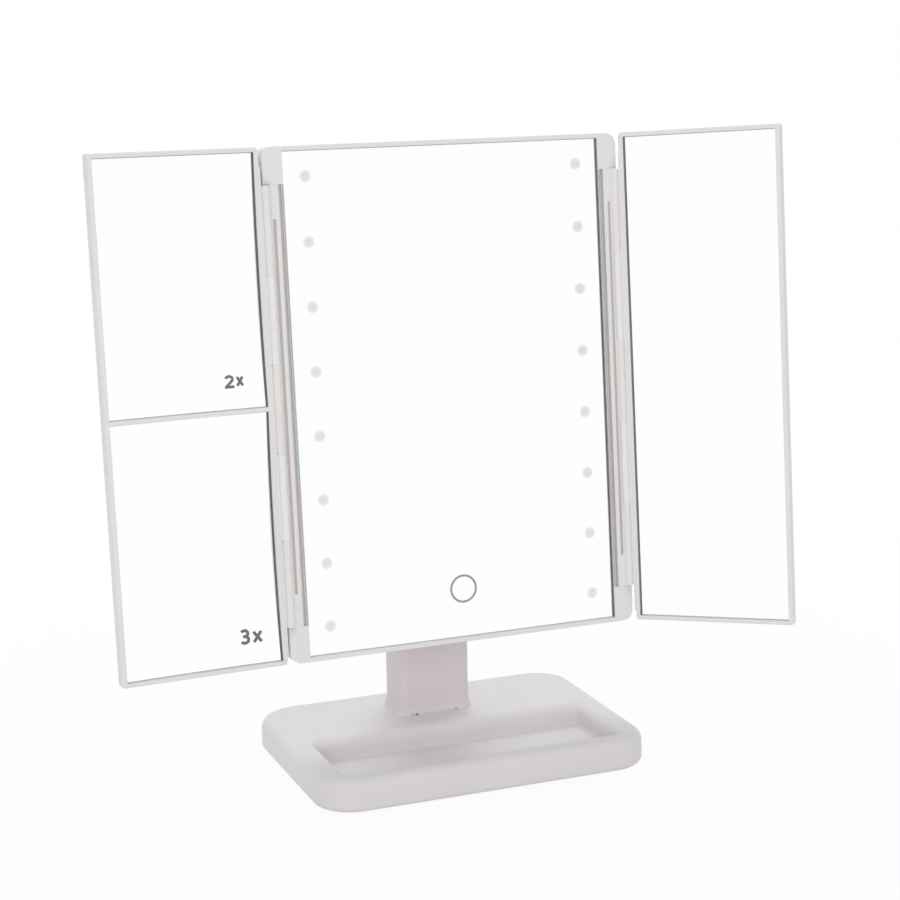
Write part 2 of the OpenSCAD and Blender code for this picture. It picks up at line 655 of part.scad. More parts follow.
module back_cover() color([0.9, 0.9, 0.9]) in_panel() difference() {
  union() {
    difference() {
      translate([0, frame_back, open_h / 2]) rotate([-90, 0, 0])
        slab(2 * case_x, open_h + 2 * rim, case_back - frame_back, case_r, 4);
      translate([0, frame_back - 1, open_h / 2]) rotate([-90, 0, 0])
        slab(2 * (case_x - cover_wall), open_h + 2 * (rim - cover_wall),
          case_back - frame_back + 1 - cover_wall, case_r - cover_wall, 2.2);
    }
    translate([0, case_back - cover_wall, (pod_z0 + pod_z1) / 2]) rotate([-90, 0, 0])
      slab(2 * pod_x, pod_z1 - pod_z0, pod_y - case_back + cover_wall, 4, pod_edge);
    for (p = cover_at) translate([p[0], frame_back, p[1]]) rotate([-90, 0, 0])
      cylinder(h = case_back - frame_back - 1, r = head_r + 0.8);
    for (p = bracket_at) translate([p[0], boss_front, p[1]]) rotate([-90, 0, 0])
      cylinder(h = case_back - 1 - boss_front, r = head_r + 0.4);
  }
  span([-tray_out_x - bay_gap, tray_front_y - 1, tray_z0 - bay_gap],
    [tray_out_x + bay_gap, door_in - door_gap, tray_z1 + bay_gap]);
  span([-door_x - door_gap, door_in - door_gap - e, door_z0 - door_gap],
    [door_x + door_gap, pod_y + 1, pod_z1 + 1]);
  span([-door_x - tongue - door_gap, door_in + 0.4 - door_gap, door_z0 - door_gap],
    [door_x + tongue + door_gap, door_in + 0.4 + tongue_t + door_gap, pod_z1 + 1]);
  for (p = cover_at) translate([p[0], frame_back - 1, p[1]]) rotate([-90, 0, 0]) {
    cylinder(h = case_back, r = screw_clear);
    translate([0, 0, case_back - frame_back + 1 - head_t]) cylinder(h = 4, r = head_r + 0.3);
  }
  for (p = bracket_at) translate([p[0], boss_front - 1, p[1]]) rotate([-90, 0, 0])
    cylinder(h = case_back, r = screw_r);
  span([usb_x0 - 0.3, board_back - 0.3, -rim - 1], [usb_x0 + usb_w + 0.3, board_back + usb_h + 0.3, 2.4]);
}

module cover_screws() color([0.6, 0.6, 0.62]) in_panel() for (p = cover_at)
  translate([p[0], case_back - head_t, p[1]]) rotate([-90, 0, 0]) screw(9, screw_r, head_r, head_t - 0.2);

module battery_tray() color([0.85, 0.85, 0.86]) in_panel() difference() {
  span([-tray_out_x, tray_front_y, tray_z0], [tray_out_x, tray_back_y, tray_z1]);
  for (z = cell_z_at) {
    translate([-tray_x, cell_y, z]) rotate([0, 90, 0]) cylinder(h = 2 * tray_x, r = cell_r);
    span([-tray_x, cell_y, z - cell_r], [tray_x, cell_y + cell_r, z + cell_r]);
  }
}

// each row has a spring at one end and a flat plate at the other
module battery_contacts() color([0.75, 0.72, 0.6]) in_panel() for (k = [0, 1]) {
  d = k == 0 ? 1 : -1;
  z = cell_z_at[k];
  for (s = [-1, 1])
    span([s > 0 ? tray_x - contact_t : -tray_x, cell_y - 5, z - 5],
      [s > 0 ? tray_x : contact_t - tray_x, cell_y + 3, z + 5]);
  for (i = [0:3]) translate([d * (contact_t - tray_x + 0.45 + i * 0.82), cell_y, z])
    rotate([0, 90, 0]) rotate_extrude() translate([4 - i * 0.5, 0]) circle(0.5, $fn = 16);
}

module battery_cells() color([0.25, 0.3, 0.4]) in_panel() for (k = [0, 1], i = [0, 1]) {
  d = k == 0 ? 1 : -1;
  start = tray_x - contact_t - (2 - i) * (cell_body + cell_nub + cell_gap);
  translate([d * start, cell_y, cell_z_at[k]]) rotate([0, d * 90, 0]) {
    cylinder(h = cell_body, r = cell_r - 0.02);
    cylinder(h = cell_body + cell_nub, r = nub_r);
  }
}

module battery_door() color([0.9, 0.9, 0.9]) in_panel() difference() {
  union() {
    span([-door_x, door_in, door_z0], [door_x, pod_y, door_z1]);
    span([-door_x - tongue, door_in + 0.4, door_z0], [door_x + tongue, door_in + 0.4 + tongue_t, door_z1]);
  }
  for (i = [0:4]) span([-9, pod_y - 0.5, door_z1 - 5 - i * 2], [9, pod_y + 1, door_z1 - 4 - i * 2]);
}

// ---------- wings ----------

leaf_screw_y = 3.55;
leaf_screw_z = [for (i = [0:knuckle_n - 1]) strip_z0 + (i + 0.5) * knuckle_len];

module wing_ring(side, turn, thick, back_t, split) in_wing(side, turn) difference() {
  wing_plate(side, wing_start, wing_s1, wing_set, wing_set + thick - back_t, -rim, open_h + rim, wing_r);
  if (split) {
    wing_box(side, wing_a, wing_a + wing_w, -1, thick + 1, 0, bar_z - bar_t / 2);
    wing_box(side, wing_a, wing_a + wing_w, -1, thick + 1, bar_z + bar_t / 2, open_h);
  } else wing_box(side, wing_a, wing_a + wing_w, -1, thick + 1, 0, open_h);
  for (z = leaf_screw_z) translate([side * (leaf_s1 - 1), leaf_screw_y, z]) rotate([0, side * 90, 0])
    cylinder(h = leaf_hole_s - leaf_s1 + 1, r = leaf_screw_r);
}

module wing_back(side, turn, thick, back_t) in_wing(side, turn)
  translate([side * (leaf_s1 + wing_s1) / 2, wing_set + thick - back_t, open_h / 2]) rotate([-90, 0, 0])
    slab(wing_s1 - leaf_s1, open_h + 2 * rim, back_t, wing_r, 0.9);

// steel leaf with its two rolled knuckles
module wing_leaf(side, turn) in_wing(side, turn) difference() {
  union() {
    wing_box(side, leaf_s0, leaf_s1, leaf_front, leaf_deep, leaf_low, open_h - leaf_high);
    for (k = [0, 2]) translate([0, 0, knuckle_cuts[k] + knuckle_side])
      linear_extrude(knuckle_len - 2 * knuckle_side) {
      circle(bead_r);
      polygon([[0, knuckle_side], [side * leaf_s1, knuckle_side], [side * leaf_s1, strap_deep - 0.2],
        [side * bead_r / 2, bead_r]]);
    }
  }
  cylinder(h = open_h, r = pin_r + pin_gap);
  for (z = leaf_screw_z) translate([side * (leaf_s0 - 1), leaf_screw_y, z]) rotate([0, side * 90, 0]) {
    cylinder(h = 4, r = leaf_screw_r);
    cylinder(h = 1 + leaf_head_t + leaf_head_gap, r = leaf_head_r + leaf_head_gap);
  }
}

module leaf_screws(side, turn) in_wing(side, turn) for (z = leaf_screw_z)
  translate([side * leaf_head_s, leaf_screw_y, z]) rotate([0, -side * 90, 0]) {
    translate([0, 0, -leaf_screw_len]) cylinder(h = leaf_screw_len, r = leaf_screw_r);
    cylinder(h = leaf_head_t, r = leaf_head_r);
  }

left_floor = wing_set + left_t - back_left;
right_floor = wing_set + right_t - back_right;

// height of the hollow's rim above its deepest point, at radius q from its middle
function hollow(q, radius) = radius - sqrt(radius * radius - q * q);

// magnifying pane: flat back, hollow front
module hollow_pane(z0, z1, radius) in_wing(-1, left_turn) difference() {
  wing_box(-1, wing_a + glass_gap, wing_a + wing_w - glass_gap, pane_y, left_floor - tape_t, z0, z1);
  corner = sqrt(pow(wing_w / 2, 2) + pow((z1 - z0) / 2, 2)) + glass_gap;
  deep = hollow(corner, radius);
  translate([-(wing_a + wing_w / 2), pane_y, (z0 + z1) / 2]) rotate([-90, 0, 0]) rotate_extrude($fn = 96)
    polygon(concat([[0, -1], [corner, -1], [corner, 0]],
      [for (i = [11:-1:0]) [corner * i / 12, deep - hollow(corner * i / 12, radius)]]));
}

// one strip of tape at a quarter of the pane's width, on the wing's floor
module wing_tape(side, quarter, floor_at, z0, z1) {
  s = wing_a + quarter * wing_w / 4;
  wing_box(side, s - tape_wing_w / 2, s + tape_wing_w / 2, floor_at - tape_t, floor_at, z0, z1);
}

module left_frame() color([0.9, 0.9, 0.9]) wing_ring(-1, left_turn, left_t, back_left, true);
module left_back() color([0.88, 0.88, 0.88]) wing_back(-1, left_turn, left_t, back_left);
module left_glass_2x() color([0.8, 0.84, 0.88])
  hollow_pane(bar_z + bar_t / 2 + glass_gap, open_h - glass_gap, radius_2x);
module left_glass_3x() color([0.8, 0.84, 0.88])
  hollow_pane(glass_gap, bar_z - bar_t / 2 - glass_gap, radius_3x);
module left_tape() color([0.2, 0.2, 0.2]) in_wing(-1, left_turn)
  for (i = [1:3], z = [[tape_end, bar_z - tape_end], [bar_z + tape_end, open_h - tape_end]])
    wing_tape(-1, i, left_floor, z[0], z[1]);
module left_leaf() color([0.88, 0.88, 0.88]) wing_leaf(-1, left_turn);
module left_leaf_screws() color([0.6, 0.6, 0.62]) leaf_screws(-1, left_turn);

module right_frame() color([0.9, 0.9, 0.9]) wing_ring(1, right_turn, right_t, back_right, false);
module right_back() color([0.88, 0.88, 0.88]) wing_back(1, right_turn, right_t, back_right);
module right_glass() color([0.8, 0.84, 0.88]) in_wing(1, right_turn)
  wing_box(1, wing_a + glass_gap, wing_a + wing_w - glass_gap, pane_y, right_floor - tape_t, glass_gap,
    open_h - glass_gap);
module right_tape() color([0.2, 0.2, 0.2]) in_wing(1, right_turn) for (i = [1:3])
  wing_tape(1, i, right_floor, tape_end, open_h - tape_end);
module right_leaf() color([0.88, 0.88, 0.88]) wing_leaf(1, right_turn);
module right_leaf_screws() color([0.6, 0.6, 0.62]) leaf_screws(1, right_turn);

base_shell();
base_floor();
base_pad();
base_weight();
base_screws();
stem_post();
stem_cover();
stem_screws();
tilt_bolt();
tilt_nut();
tilt_washers();
tilt_bracket();
bracket_screws();
centre_frame();
centre_glass();
glass_tape();
hinge_strips();
groove_inserts();
hinge_pins();
light_windows();
led_boards();
led_chips();
touch_pad();
control_board();
board_parts();
usb_socket();
back_cover();
cover_screws();
battery_tray();
battery_contacts();
battery_cells();
battery_door();
left_frame();
left_back();
left_glass_2x();
left_glass_3x();
left_tape();
left_leaf();
left_leaf_screws();
right_frame();
right_back();
right_glass();
right_tape();
right_leaf();
right_leaf_screws();
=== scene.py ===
"""Looks of the trifold vanity mirror, built round its packed construction."""

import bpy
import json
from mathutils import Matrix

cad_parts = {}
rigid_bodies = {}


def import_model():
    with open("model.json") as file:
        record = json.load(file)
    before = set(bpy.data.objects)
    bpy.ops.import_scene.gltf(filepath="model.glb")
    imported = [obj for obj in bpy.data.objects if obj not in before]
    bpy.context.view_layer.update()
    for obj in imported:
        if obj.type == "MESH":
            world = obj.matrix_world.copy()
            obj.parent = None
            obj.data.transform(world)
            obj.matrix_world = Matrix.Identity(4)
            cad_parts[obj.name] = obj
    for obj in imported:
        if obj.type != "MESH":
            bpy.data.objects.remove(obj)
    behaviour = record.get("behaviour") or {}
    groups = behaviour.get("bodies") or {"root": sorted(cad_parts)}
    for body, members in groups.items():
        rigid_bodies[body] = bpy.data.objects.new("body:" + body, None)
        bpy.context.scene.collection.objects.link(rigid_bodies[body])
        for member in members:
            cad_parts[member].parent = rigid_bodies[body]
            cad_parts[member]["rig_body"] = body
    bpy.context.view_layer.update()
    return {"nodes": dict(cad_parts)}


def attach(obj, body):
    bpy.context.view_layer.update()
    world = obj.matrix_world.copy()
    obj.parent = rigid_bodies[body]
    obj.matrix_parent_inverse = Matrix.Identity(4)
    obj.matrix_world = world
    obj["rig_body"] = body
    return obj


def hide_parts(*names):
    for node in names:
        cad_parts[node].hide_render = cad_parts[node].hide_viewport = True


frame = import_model()

import json
import logging
import math
from dataclasses import dataclass
from enum import Enum
from typing import Callable, Sequence

import bmesh
import bpy
from mathutils import Matrix, Vector

Colour = tuple[float, float, float]
Place = tuple[float, float, float]
Point = tuple[float, float]
Depth = Callable[[Vector], float]

LOG = logging.getLogger("vanity_mirror")
WHITE = (1.0, 1.0, 1.0, 1.0)

# Millimetres of the pieces to metres of the row frame, and an outline in x and z laid down in x and y.
MM = 0.001
ROW_FRAME = Matrix.Diagonal((MM, MM, MM, 1))
UPRIGHT = Matrix(((1, 0, 0, 0), (0, 0, 1, 0), (0, 1, 0, 0), (0, 0, 0, 1)))

# Name of the mesh layer that runs from 0 at the middle of a light spot to 1 at its edge.
FADE = "fade"

# Edges are shaded smooth below SMOOTH, eased above EASED and rounded above SHARP, in degrees.
SMOOTH = 35.0
EASED = 40.0
SHARP = 60.0

# Faces of a construction mesh that lie within FLAT degrees are joined, and corners within WELD metres.
FLAT = 0.5
WELD = 0.002 * MM


# ---------- shader maths ----------


class Value:
    """An output of a node that takes part in Python expressions."""

    def __init__(self, nodes: "Nodes", socket: bpy.types.NodeSocket) -> None:
        """Wraps a socket.

        Args:
            nodes: The node tree that holds the socket.
            socket: The output socket.
        """
        self.nodes = nodes
        self.socket = socket

    def other(self, out: str) -> "Value":
        """Another output of the same node."""
        return Value(self.nodes, self.socket.node.outputs[out])

    def _math(self, operation: str, *values: "Value | float") -> "Value":
        """Adds one Math node and returns its result."""
        return self.nodes.node("ShaderNodeMath", {"operation": operation}, dict(enumerate(values)))

    def __add__(self, other: "Value | float") -> "Value":
        """Sum."""
        return self._math("ADD", self, other)

    __radd__ = __add__

    def __mul__(self, other: "Value | float") -> "Value":
        """Product."""
        return self._math("MULTIPLY", self, other)

    __rmul__ = __mul__

    def __sub__(self, other: "Value | float") -> "Value":
        """Difference."""
        return self._math("SUBTRACT", self, other)

    def __rsub__(self, other: float) -> "Value":
        """Difference from a number."""
        return self._math("SUBTRACT", other, self)

    def __abs__(self) -> "Value":
        """Absolute value."""
        return self._math("ABSOLUTE", self)

    def above(self, edge: float, soft: float) -> "Value":
        """Mask that rises from 0 to 1 over the soft distance round an edge.

        Args:
            edge: Value at which the mask is one half.
            soft: Width of the change.

        Returns:
            The mask, from 0 to 1.
        """
        return self.nodes.node(
            "ShaderNodeMapRange",
            {"interpolation_type": "SMOOTHSTEP"},
            {"Value": self, "From Min": edge - soft / 2, "From Max": edge + soft / 2},
        )

    def below(self, edge: float, soft: float) -> "Value":
        """Mask that falls from 1 to 0 over the soft distance round an edge."""
        return 1 - self.above(edge, soft)

    def spread(self, middle: float, wide: float) -> "Value":
        """Turns a noise into a number that lies up to half the width to either side of a middle."""
        return middle - wide / 2 + self * wide


class Nodes:
    """The node tree of a material or of the world."""

    def __init__(self, owner: bpy.types.Material | bpy.types.World, output: str) -> None:
        """Empties the tree and adds its output.

        Args:
            owner: The material or world.
            output: Blender's type name of the output node.
        """
        owner.use_nodes = True
        self.tree = owner.node_tree
        self.tree.nodes.clear()
        self.output = self.tree.nodes.new(output)

    def node(self, kind: str, settings: dict, inputs: dict, out: int | str = 0) -> Value:
        """Adds any node.

        Args:
            kind: Blender's type name of the node.
            settings: Properties that are set before the inputs.
            inputs: Socket names or numbers with a value or a link for each.
            out: Name or number of the output that is returned.

        Returns:
            The chosen output.
        """
        made = self.tree.nodes.new(kind)
        for key, value in settings.items():
            setattr(made, key, value)
        for key, value in inputs.items():
            self.fill(made.inputs[key], value)
        return Value(self, made.outputs[out])

    def fill(self, target: bpy.types.NodeSocket, value: "Value | float | Sequence[float]") -> None:
        """Sets or links an input socket.

        Args:
            target: The input socket.
            value: What it gets: a link from an output, or its value.
        """
        if isinstance(value, Value):
            self.tree.links.new(value.socket, target)
        else:
            target.default_value = value

    def show(self, shader: Value) -> None:
        """Makes a shader the one that is seen."""
        self.fill(self.output.inputs["Surface"], shader)

    def seen(self) -> Value:
        """Tells what the camera sees directly, in a mirror or through glass.

        Returns:
            1 for such a ray, else 0.
        """
        direct = self.node("ShaderNodeLightPath", {}, {}, "Is Camera Ray")
        sides = {0: direct + direct.other("Is Glossy Ray"), 1: direct.other("Is Transmission Ray")}
        return self.node("ShaderNodeMath", {"operation": "ADD", "use_clamp": True}, sides)


class Recipe(Nodes):
    """The node tree of one material, with one principled surface."""

    def __init__(self, name: str) -> None:
        """Makes a bare material.

        Args:
            name: Name of the material.
        """
        self.material = bpy.data.materials.new(name)
        super().__init__(self.material, "ShaderNodeOutputMaterial")
        self.surface = self.node("ShaderNodeBsdfPrincipled", {}, {})
        self.show(self.surface)
        self.place = self.node("ShaderNodeTexCoord", {}, {}, "Object")

    def feed(self, **sockets: "Value | float | Colour") -> None:
        """Sets or links sockets of the principled surface.

        Args:
            **sockets: What each gets, with underscores for the blanks in its name.
        """
        inputs = self.surface.socket.node.inputs
        for key, value in sockets.items():
            whole = (*value, 1.0) if isinstance(value, tuple) else value
            self.fill(inputs[key.replace("_", " ")], whole)

    def noise(self, size: float, detail: float = 2.0, stretch: Place | None = None) -> Value:
        """Cloudy noise whose patches are about the given size.

        Args:
            size: Patch size in metres.
            detail: Number of finer layers.
            stretch: Factors on the three axes of the place.

        Returns:
            A value round one half.
        """
        place = self.place
        if stretch:
            place = self.node("ShaderNodeVectorMath", {"operation": "MULTIPLY"}, {0: place, 1: stretch})
        return self.node("ShaderNodeTexNoise", {}, {"Vector": place, "Scale": 1 / size, "Detail": detail})

    def blend(self, mask: Value, low: Colour, high: Colour) -> Value:
        """Mixes two colours by a mask, from the low one at 0 to the high one at 1."""
        sides = {0: mask, 6: (*low, 1.0), 7: (*high, 1.0)}
        return self.node("ShaderNodeMix", {"data_type": "RGBA"}, sides, 2)

    def bump(self, height: Value, depth: float, strength: float = 1.0) -> Value:
        """Turns a height from 0 to 1 into a normal, for relief of the given depth in metres."""
        return self.node("ShaderNodeBump", {}, {"Height": height, "Distance": depth, "Strength": strength})


# ---------- finishes ----------


@dataclass(frozen=True)
class Moulding:
    """Satin injection moulded plastic with a faint spark-eroded grain."""

    name: str
    colour: Colour
    rough: float = 0.38
    unevenness: float = 0.1
    grain: float = 0.00035
    depth: float = 0.000012
    patch: float = 0.03
    drift: float = 0.014
    gloss: float = 0.4

    def made(self) -> bpy.types.Material:
        """Builds the material.

        Returns:
            The material.
        """
        recipe = Recipe(self.name)
        cloud = recipe.noise(self.patch)
        fine = recipe.noise(self.grain, detail=3.0)
        dark = tuple(c * (1 - self.drift) for c in self.colour)
        light = tuple(min(1.0, c * (1 + self.drift)) for c in self.colour)
        recipe.feed(
            Base_Color=recipe.blend(cloud.above(0.5, soft=0.5), dark, light),
            Roughness=fine.spread(self.rough, self.unevenness),
            Normal=recipe.bump(fine, self.depth),
            Specular_IOR_Level=self.gloss,
        )
        return recipe.material


@dataclass(frozen=True)
class Silvering:
    """Silvered glass: bright, all but smooth, with the faintest unevenness."""

    name: str
    colour: Colour = (0.985, 0.99, 0.988)
    dim: Colour = (0.93, 0.95, 0.945)
    dimming: float = 0.2
    patch: float = 0.05
    haze: float = 0.004
    rough: float = 0.012
    unevenness: float = 0.01

    def made(self) -> bpy.types.Material:
        """Builds the material.

        Returns:
            The material.
        """
        recipe = Recipe(self.name)
        cloud = recipe.noise(self.patch, detail=1.0).above(0.62, soft=0.3)
        haze = recipe.noise(self.haze).above(0.6, soft=0.2)
        recipe.feed(
            Base_Color=recipe.blend(cloud * self.dimming, self.colour, self.dim),
            Metallic=1.0,
            Roughness=self.rough + haze * self.unevenness,
        )
        return recipe.material


@dataclass(frozen=True)
class Metal:
    """Plated or bare metal with fine brushing and a little tarnish."""

    name: str
    colour: Colour
    dark: Colour
    rough: float = 0.3
    unevenness: float = 0.16
    tarnish: float = 0.1
    brushing: Place = (1.0, 1.0, 8.0)
    streak: float = 0.0012
    stain: float = 0.004
    depth: float = 0.000015

    def made(self) -> bpy.types.Material:
        """Builds the material.

        Returns:
            The material.
        """
        recipe = Recipe(self.name)
        streak = recipe.noise(self.streak, 3.0, self.brushing)
        stain = recipe.noise(self.stain, detail=3.0)
        recipe.feed(
            Base_Color=recipe.blend(stain.above(0.6, soft=0.35), self.colour, self.dark),
            Metallic=1.0,
            Roughness=streak.spread(self.rough, self.unevenness) + stain.above(0.6, soft=0.3) * self.tarnish,
            Normal=recipe.bump(streak, self.depth),
        )
        return recipe.material


@dataclass(frozen=True)
class Soft:
    """Rubber, foam or soft insert with an open surface."""

    name: str
    colour: Colour
    light: Colour
    rough: float = 0.8
    unevenness: float = 0.16
    pore: float = 0.0006
    depth: float = 0.00006
    patch: float = 0.006

    def made(self) -> bpy.types.Material:
        """Builds the material.

        Returns:
            The material.
        """
        recipe = Recipe(self.name)
        pores = recipe.node("ShaderNodeTexVoronoi", {}, {"Vector": recipe.place, "Scale": 1 / self.pore})
        cloud = recipe.noise(self.patch, detail=3.0)
        recipe.feed(
            Base_Color=recipe.blend(cloud.above(0.5, soft=0.4), self.colour, self.light),
            Roughness=cloud.spread(self.rough, self.unevenness),
            Normal=recipe.bump(pores, self.depth, strength=0.7),
        )
        return recipe.material


@dataclass(frozen=True)
class FrostedMirror:
    """Silvering blasted dull, which clears towards the edge of a mark."""

    name: str
    core: Colour
    clear: Colour
    rough: float = 0.5
    unevenness: float = 0.15
    grain: float = 0.0005
    raggedness: float = 0.5
    depth: float = 0.00001

    def made(self) -> bpy.types.Material:
        """Builds the material.

        Returns:
            The material.
        """
        recipe = Recipe(self.name)
        fade = recipe.node("ShaderNodeAttribute", {"attribute_name": FADE}, {}, "Fac")
        grit = recipe.noise(self.grain, detail=3.0)
        mask = (fade + (grit - 0.5) * self.raggedness).above(0.78, soft=0.6)
        recipe.feed(
            Base_Color=recipe.blend(mask, self.core, self.clear),
            Metallic=1.0,
            Roughness=self.rough + grit * self.unevenness,
            Normal=recipe.bump(grit, self.depth),
        )
        return recipe.material


@dataclass(frozen=True)
class Frosting:
    """Sand-blasted, printed or diffusing surface with a fine speckle."""

    name: str
    colour: Colour
    speckle: Colour
    rough: float = 0.6
    unevenness: float = 0.1
    grain: float = 0.00025
    depth: float = 0.00001

    def made(self) -> bpy.types.Material:
        """Builds the material.

        Returns:
            The material.
        """
        recipe = Recipe(self.name)
        grit = recipe.noise(self.grain)
        recipe.feed(
            Base_Color=recipe.blend(grit.above(0.5, soft=0.3), self.colour, self.speckle),
            Roughness=grit.spread(self.rough, self.unevenness),
            Normal=recipe.bump(grit, self.depth),
        )
        return recipe.material


@dataclass(frozen=True)
class Board:
    """Circuit board with a solder mask over rows of tracks.

    The bands of a wave at scale 1 repeat over the length called wave.
    """

    name: str
    colour: Colour
    track: Colour
    pitch: float = 0.0022
    wave: float = 0.31
    cover: float = 0.7
    rough: float = 0.4
    shine: float = 0.1
    depth: float = 0.00003
    coat: float = 0.3

    def made(self) -> bpy.types.Material:
        """Builds the material.

        Returns:
            The material.
        """
        recipe = Recipe(self.name)
        bands = {"wave_type": "BANDS", "bands_direction": "X"}
        wander = {"Distortion": 3.0, "Detail": 1.0, "Detail Scale": 0.6}
        sockets = {"Vector": recipe.place, "Scale": self.wave / self.pitch, **wander}
        lines = recipe.node("ShaderNodeTexWave", bands, sockets, 1).above(0.72, soft=0.06)
        recipe.feed(
            Base_Color=recipe.blend(lines * self.cover, self.colour, self.track),
            Roughness=self.rough - lines * self.shine,
            Normal=recipe.bump(lines, self.depth),
            Coat_Weight=self.coat,
        )
        return recipe.material


@dataclass(frozen=True)
class CellWrap:
    """Shrink wrap of a battery cell, with one coloured band round it."""

    name: str
    band: Colour
    body: Colour
    middle: float = 0.027
    half: float = 0.013
    edge: float = 0.0004
    patch: float = 0.003
    rough: float = 0.25
    unevenness: float = 0.15
    depth: float = 0.00002
    coat: float = 0.5

    def made(self) -> bpy.types.Material:
        """Builds the material.

        Returns:
            The material.
        """
        recipe = Recipe(self.name)
        along = abs(recipe.node("ShaderNodeSeparateXYZ", {}, {0: recipe.place}, "X"))
        band = abs(along - self.middle).below(self.half, self.edge)
        wear = recipe.noise(self.patch, detail=3.0)
        recipe.feed(
            Base_Color=recipe.blend(band, self.body, self.band),
            Roughness=self.rough + wear * self.unevenness,
            Normal=recipe.bump(wear, self.depth),
            Coat_Weight=self.coat,
        )
        return recipe.material


class Finish(Enum):
    """Every finish of the mirror with the record's material slot it belongs to."""

    SHELL = ("white_plastic", Moulding("shell_plastic", (0.80, 0.77, 0.772)))
    # Painted light: a lighter copy of the shell's white plastic, for the brighter fronts of the panels.
    PANEL = ("white_plastic", Moulding("panel_plastic", (0.86, 0.84, 0.835)))
    # Painted shade: a darker, pinker copy of the white plastic for the stem, which lies in the panel's shade.
    STEM = ("white_plastic", Moulding("stem_plastic", (0.77, 0.705, 0.725), rough=0.42))
    INNER = ("inner_plastic", Moulding("inner_plastic", (0.62, 0.62, 0.63), rough=0.55))
    GLASS = ("mirror_glass", Silvering("silvered_glass"))
    STEEL = ("steel", Metal("plated_steel", (0.62, 0.61, 0.6), (0.45, 0.44, 0.43)))
    LEAF = ("painted_steel", Moulding("painted_steel", (0.84, 0.82, 0.815), rough=0.36, grain=0.0009))
    IRON = ("iron", Metal("cast_iron", (0.12, 0.12, 0.125), (0.07, 0.06, 0.055), rough=0.6))
    RUBBER = ("rubber", Soft("pad_rubber", (0.045, 0.045, 0.05), (0.07, 0.07, 0.075)))
    # Painted shade: the brown-grey of the groove inserts stands in for the shade in the groove.
    INSERT = ("soft_insert", Soft("soft_insert", (0.40, 0.35, 0.345), (0.47, 0.41, 0.40), rough=0.7))
    # Painted shade: dark grey sheets on the walls beside the glass, where the walls lie in shade; the darker
    # one is for the left wing.
    LINING = ("soft_insert", Soft("wall_lining", (0.26, 0.255, 0.25), (0.31, 0.305, 0.30), rough=0.6))
    DARK_LINING = ("soft_insert", Soft("dark_lining", (0.13, 0.13, 0.125), (0.17, 0.17, 0.16), rough=0.6))
    # Painted shade: a grey strip on the narrow ridge between the glass wall and the slot.
    TRIM = ("soft_insert", Soft("wall_trim", (0.46, 0.45, 0.45), (0.52, 0.51, 0.51), rough=0.6))
    GASKET = ("soft_insert", Soft("edge_gasket", (0.52, 0.52, 0.51), (0.58, 0.58, 0.57), rough=0.6))
    TAPE = ("foam_tape", Soft("foam_tape", (0.02, 0.02, 0.022), (0.04, 0.04, 0.042)))
    DIFFUSER = ("diffuser", Frosting("light_diffuser", (0.88, 0.87, 0.84), (0.78, 0.77, 0.74)))
    SPOT = ("diffuser", FrostedMirror("frosted_spot", (0.83, 0.835, 0.82), (0.95, 0.955, 0.945)))
    RING = ("diffuser", FrostedMirror("frosted_ring", (0.40, 0.40, 0.39), (0.40, 0.40, 0.39)))
    MARK = ("chip_black", Frosting("number_mark", (0.15, 0.15, 0.14), (0.21, 0.21, 0.2)))
    BOARD_WHITE = ("board_white", Board("light_board", (0.78, 0.78, 0.75), (0.9, 0.9, 0.86)))
    BOARD_GREEN = ("board_green", Board("control_board", (0.01, 0.075, 0.03), (0.03, 0.16, 0.06)))
    CHIP = ("chip_black", Moulding("chip_resin", (0.018, 0.018, 0.02), rough=0.5, grain=0.0002))
    PHOSPHOR = ("led_yellow", Frosting("light_phosphor", (0.82, 0.63, 0.12), (0.72, 0.5, 0.07), rough=0.35))
    WRAP = ("cell_wrap", CellWrap("cell_wrap", (0.02, 0.05, 0.16), (0.35, 0.36, 0.38)))
    COPPER = ("copper", Metal("sensing_copper", (0.72, 0.38, 0.22), (0.5, 0.25, 0.15)))

    @property
    def slot(self) -> str:
        """Name of the record's material slot."""
        return self.value[0]

    @property
    def material(self) -> bpy.types.Material:
        """The material, built on first use."""
        kind = self.value[1]
        return bpy.data.materials.get(kind.name) or kind.made()


# ---------- the panels' own axes, in millimetres ----------


@dataclass(frozen=True)
class Lean:
    """The leaning panel's own axes: x across, y back from the glass, z up the glass."""

    tilt: float = 5.0
    low_y: float = -23.3
    low_z: float = 64.9

    def matrix(self) -> Matrix:
        """Panel axes to the row frame."""
        turn = Matrix.Rotation(math.radians(-self.tilt), 4, "X")
        return ROW_FRAME @ Matrix.Translation((0, self.low_y, self.low_z)) @ turn


@dataclass(frozen=True)
class Hinge:
    """Piano hinge on one side of the middle panel, in that panel's axes.

    Its knuckles belong to the middle panel and to the wing by turns, from the foot of the strip to its top.
    """

    x: float = 83.8
    y: float = -1.9
    strip: Point = (14.7, 211.0)
    knuckle_n: int = 5
    knuckle_side: float = 0.3
    bead_r: float = 1.8
    sweep_r: float = 2.1
    fit: float = 0.04

    def knuckles(self, first: int) -> list[Point]:
        """Lists every second knuckle.

        Args:
            first: Number of the first one, counted from 0 at the foot.

        Returns:
            Lower and upper end of each.
        """
        low, high = self.strip
        cuts = [low + (high - low) * i / self.knuckle_n for i in range(self.knuckle_n + 1)]
        return list(zip(cuts, cuts[1:]))[first::2]


@dataclass(frozen=True)
class Swing:
    """A wing's own axes: x outward from the hinge axis, y back, z up."""

    side: int
    turn: float
    hinge: Hinge = Hinge()

    def matrix(self) -> Matrix:
        """Wing axes to the row frame.

        Returns:
            The matrix.
        """
        hinge = Matrix.Translation((self.side * self.hinge.x, self.hinge.y, 0))
        turn = Matrix.Rotation(math.radians(-self.side * self.turn), 4, "Z")
        mirror = Matrix.Diagonal((self.side, 1, 1, 1))
        return Lean().matrix() @ hinge @ turn @ mirror


# ---------- meshes ----------


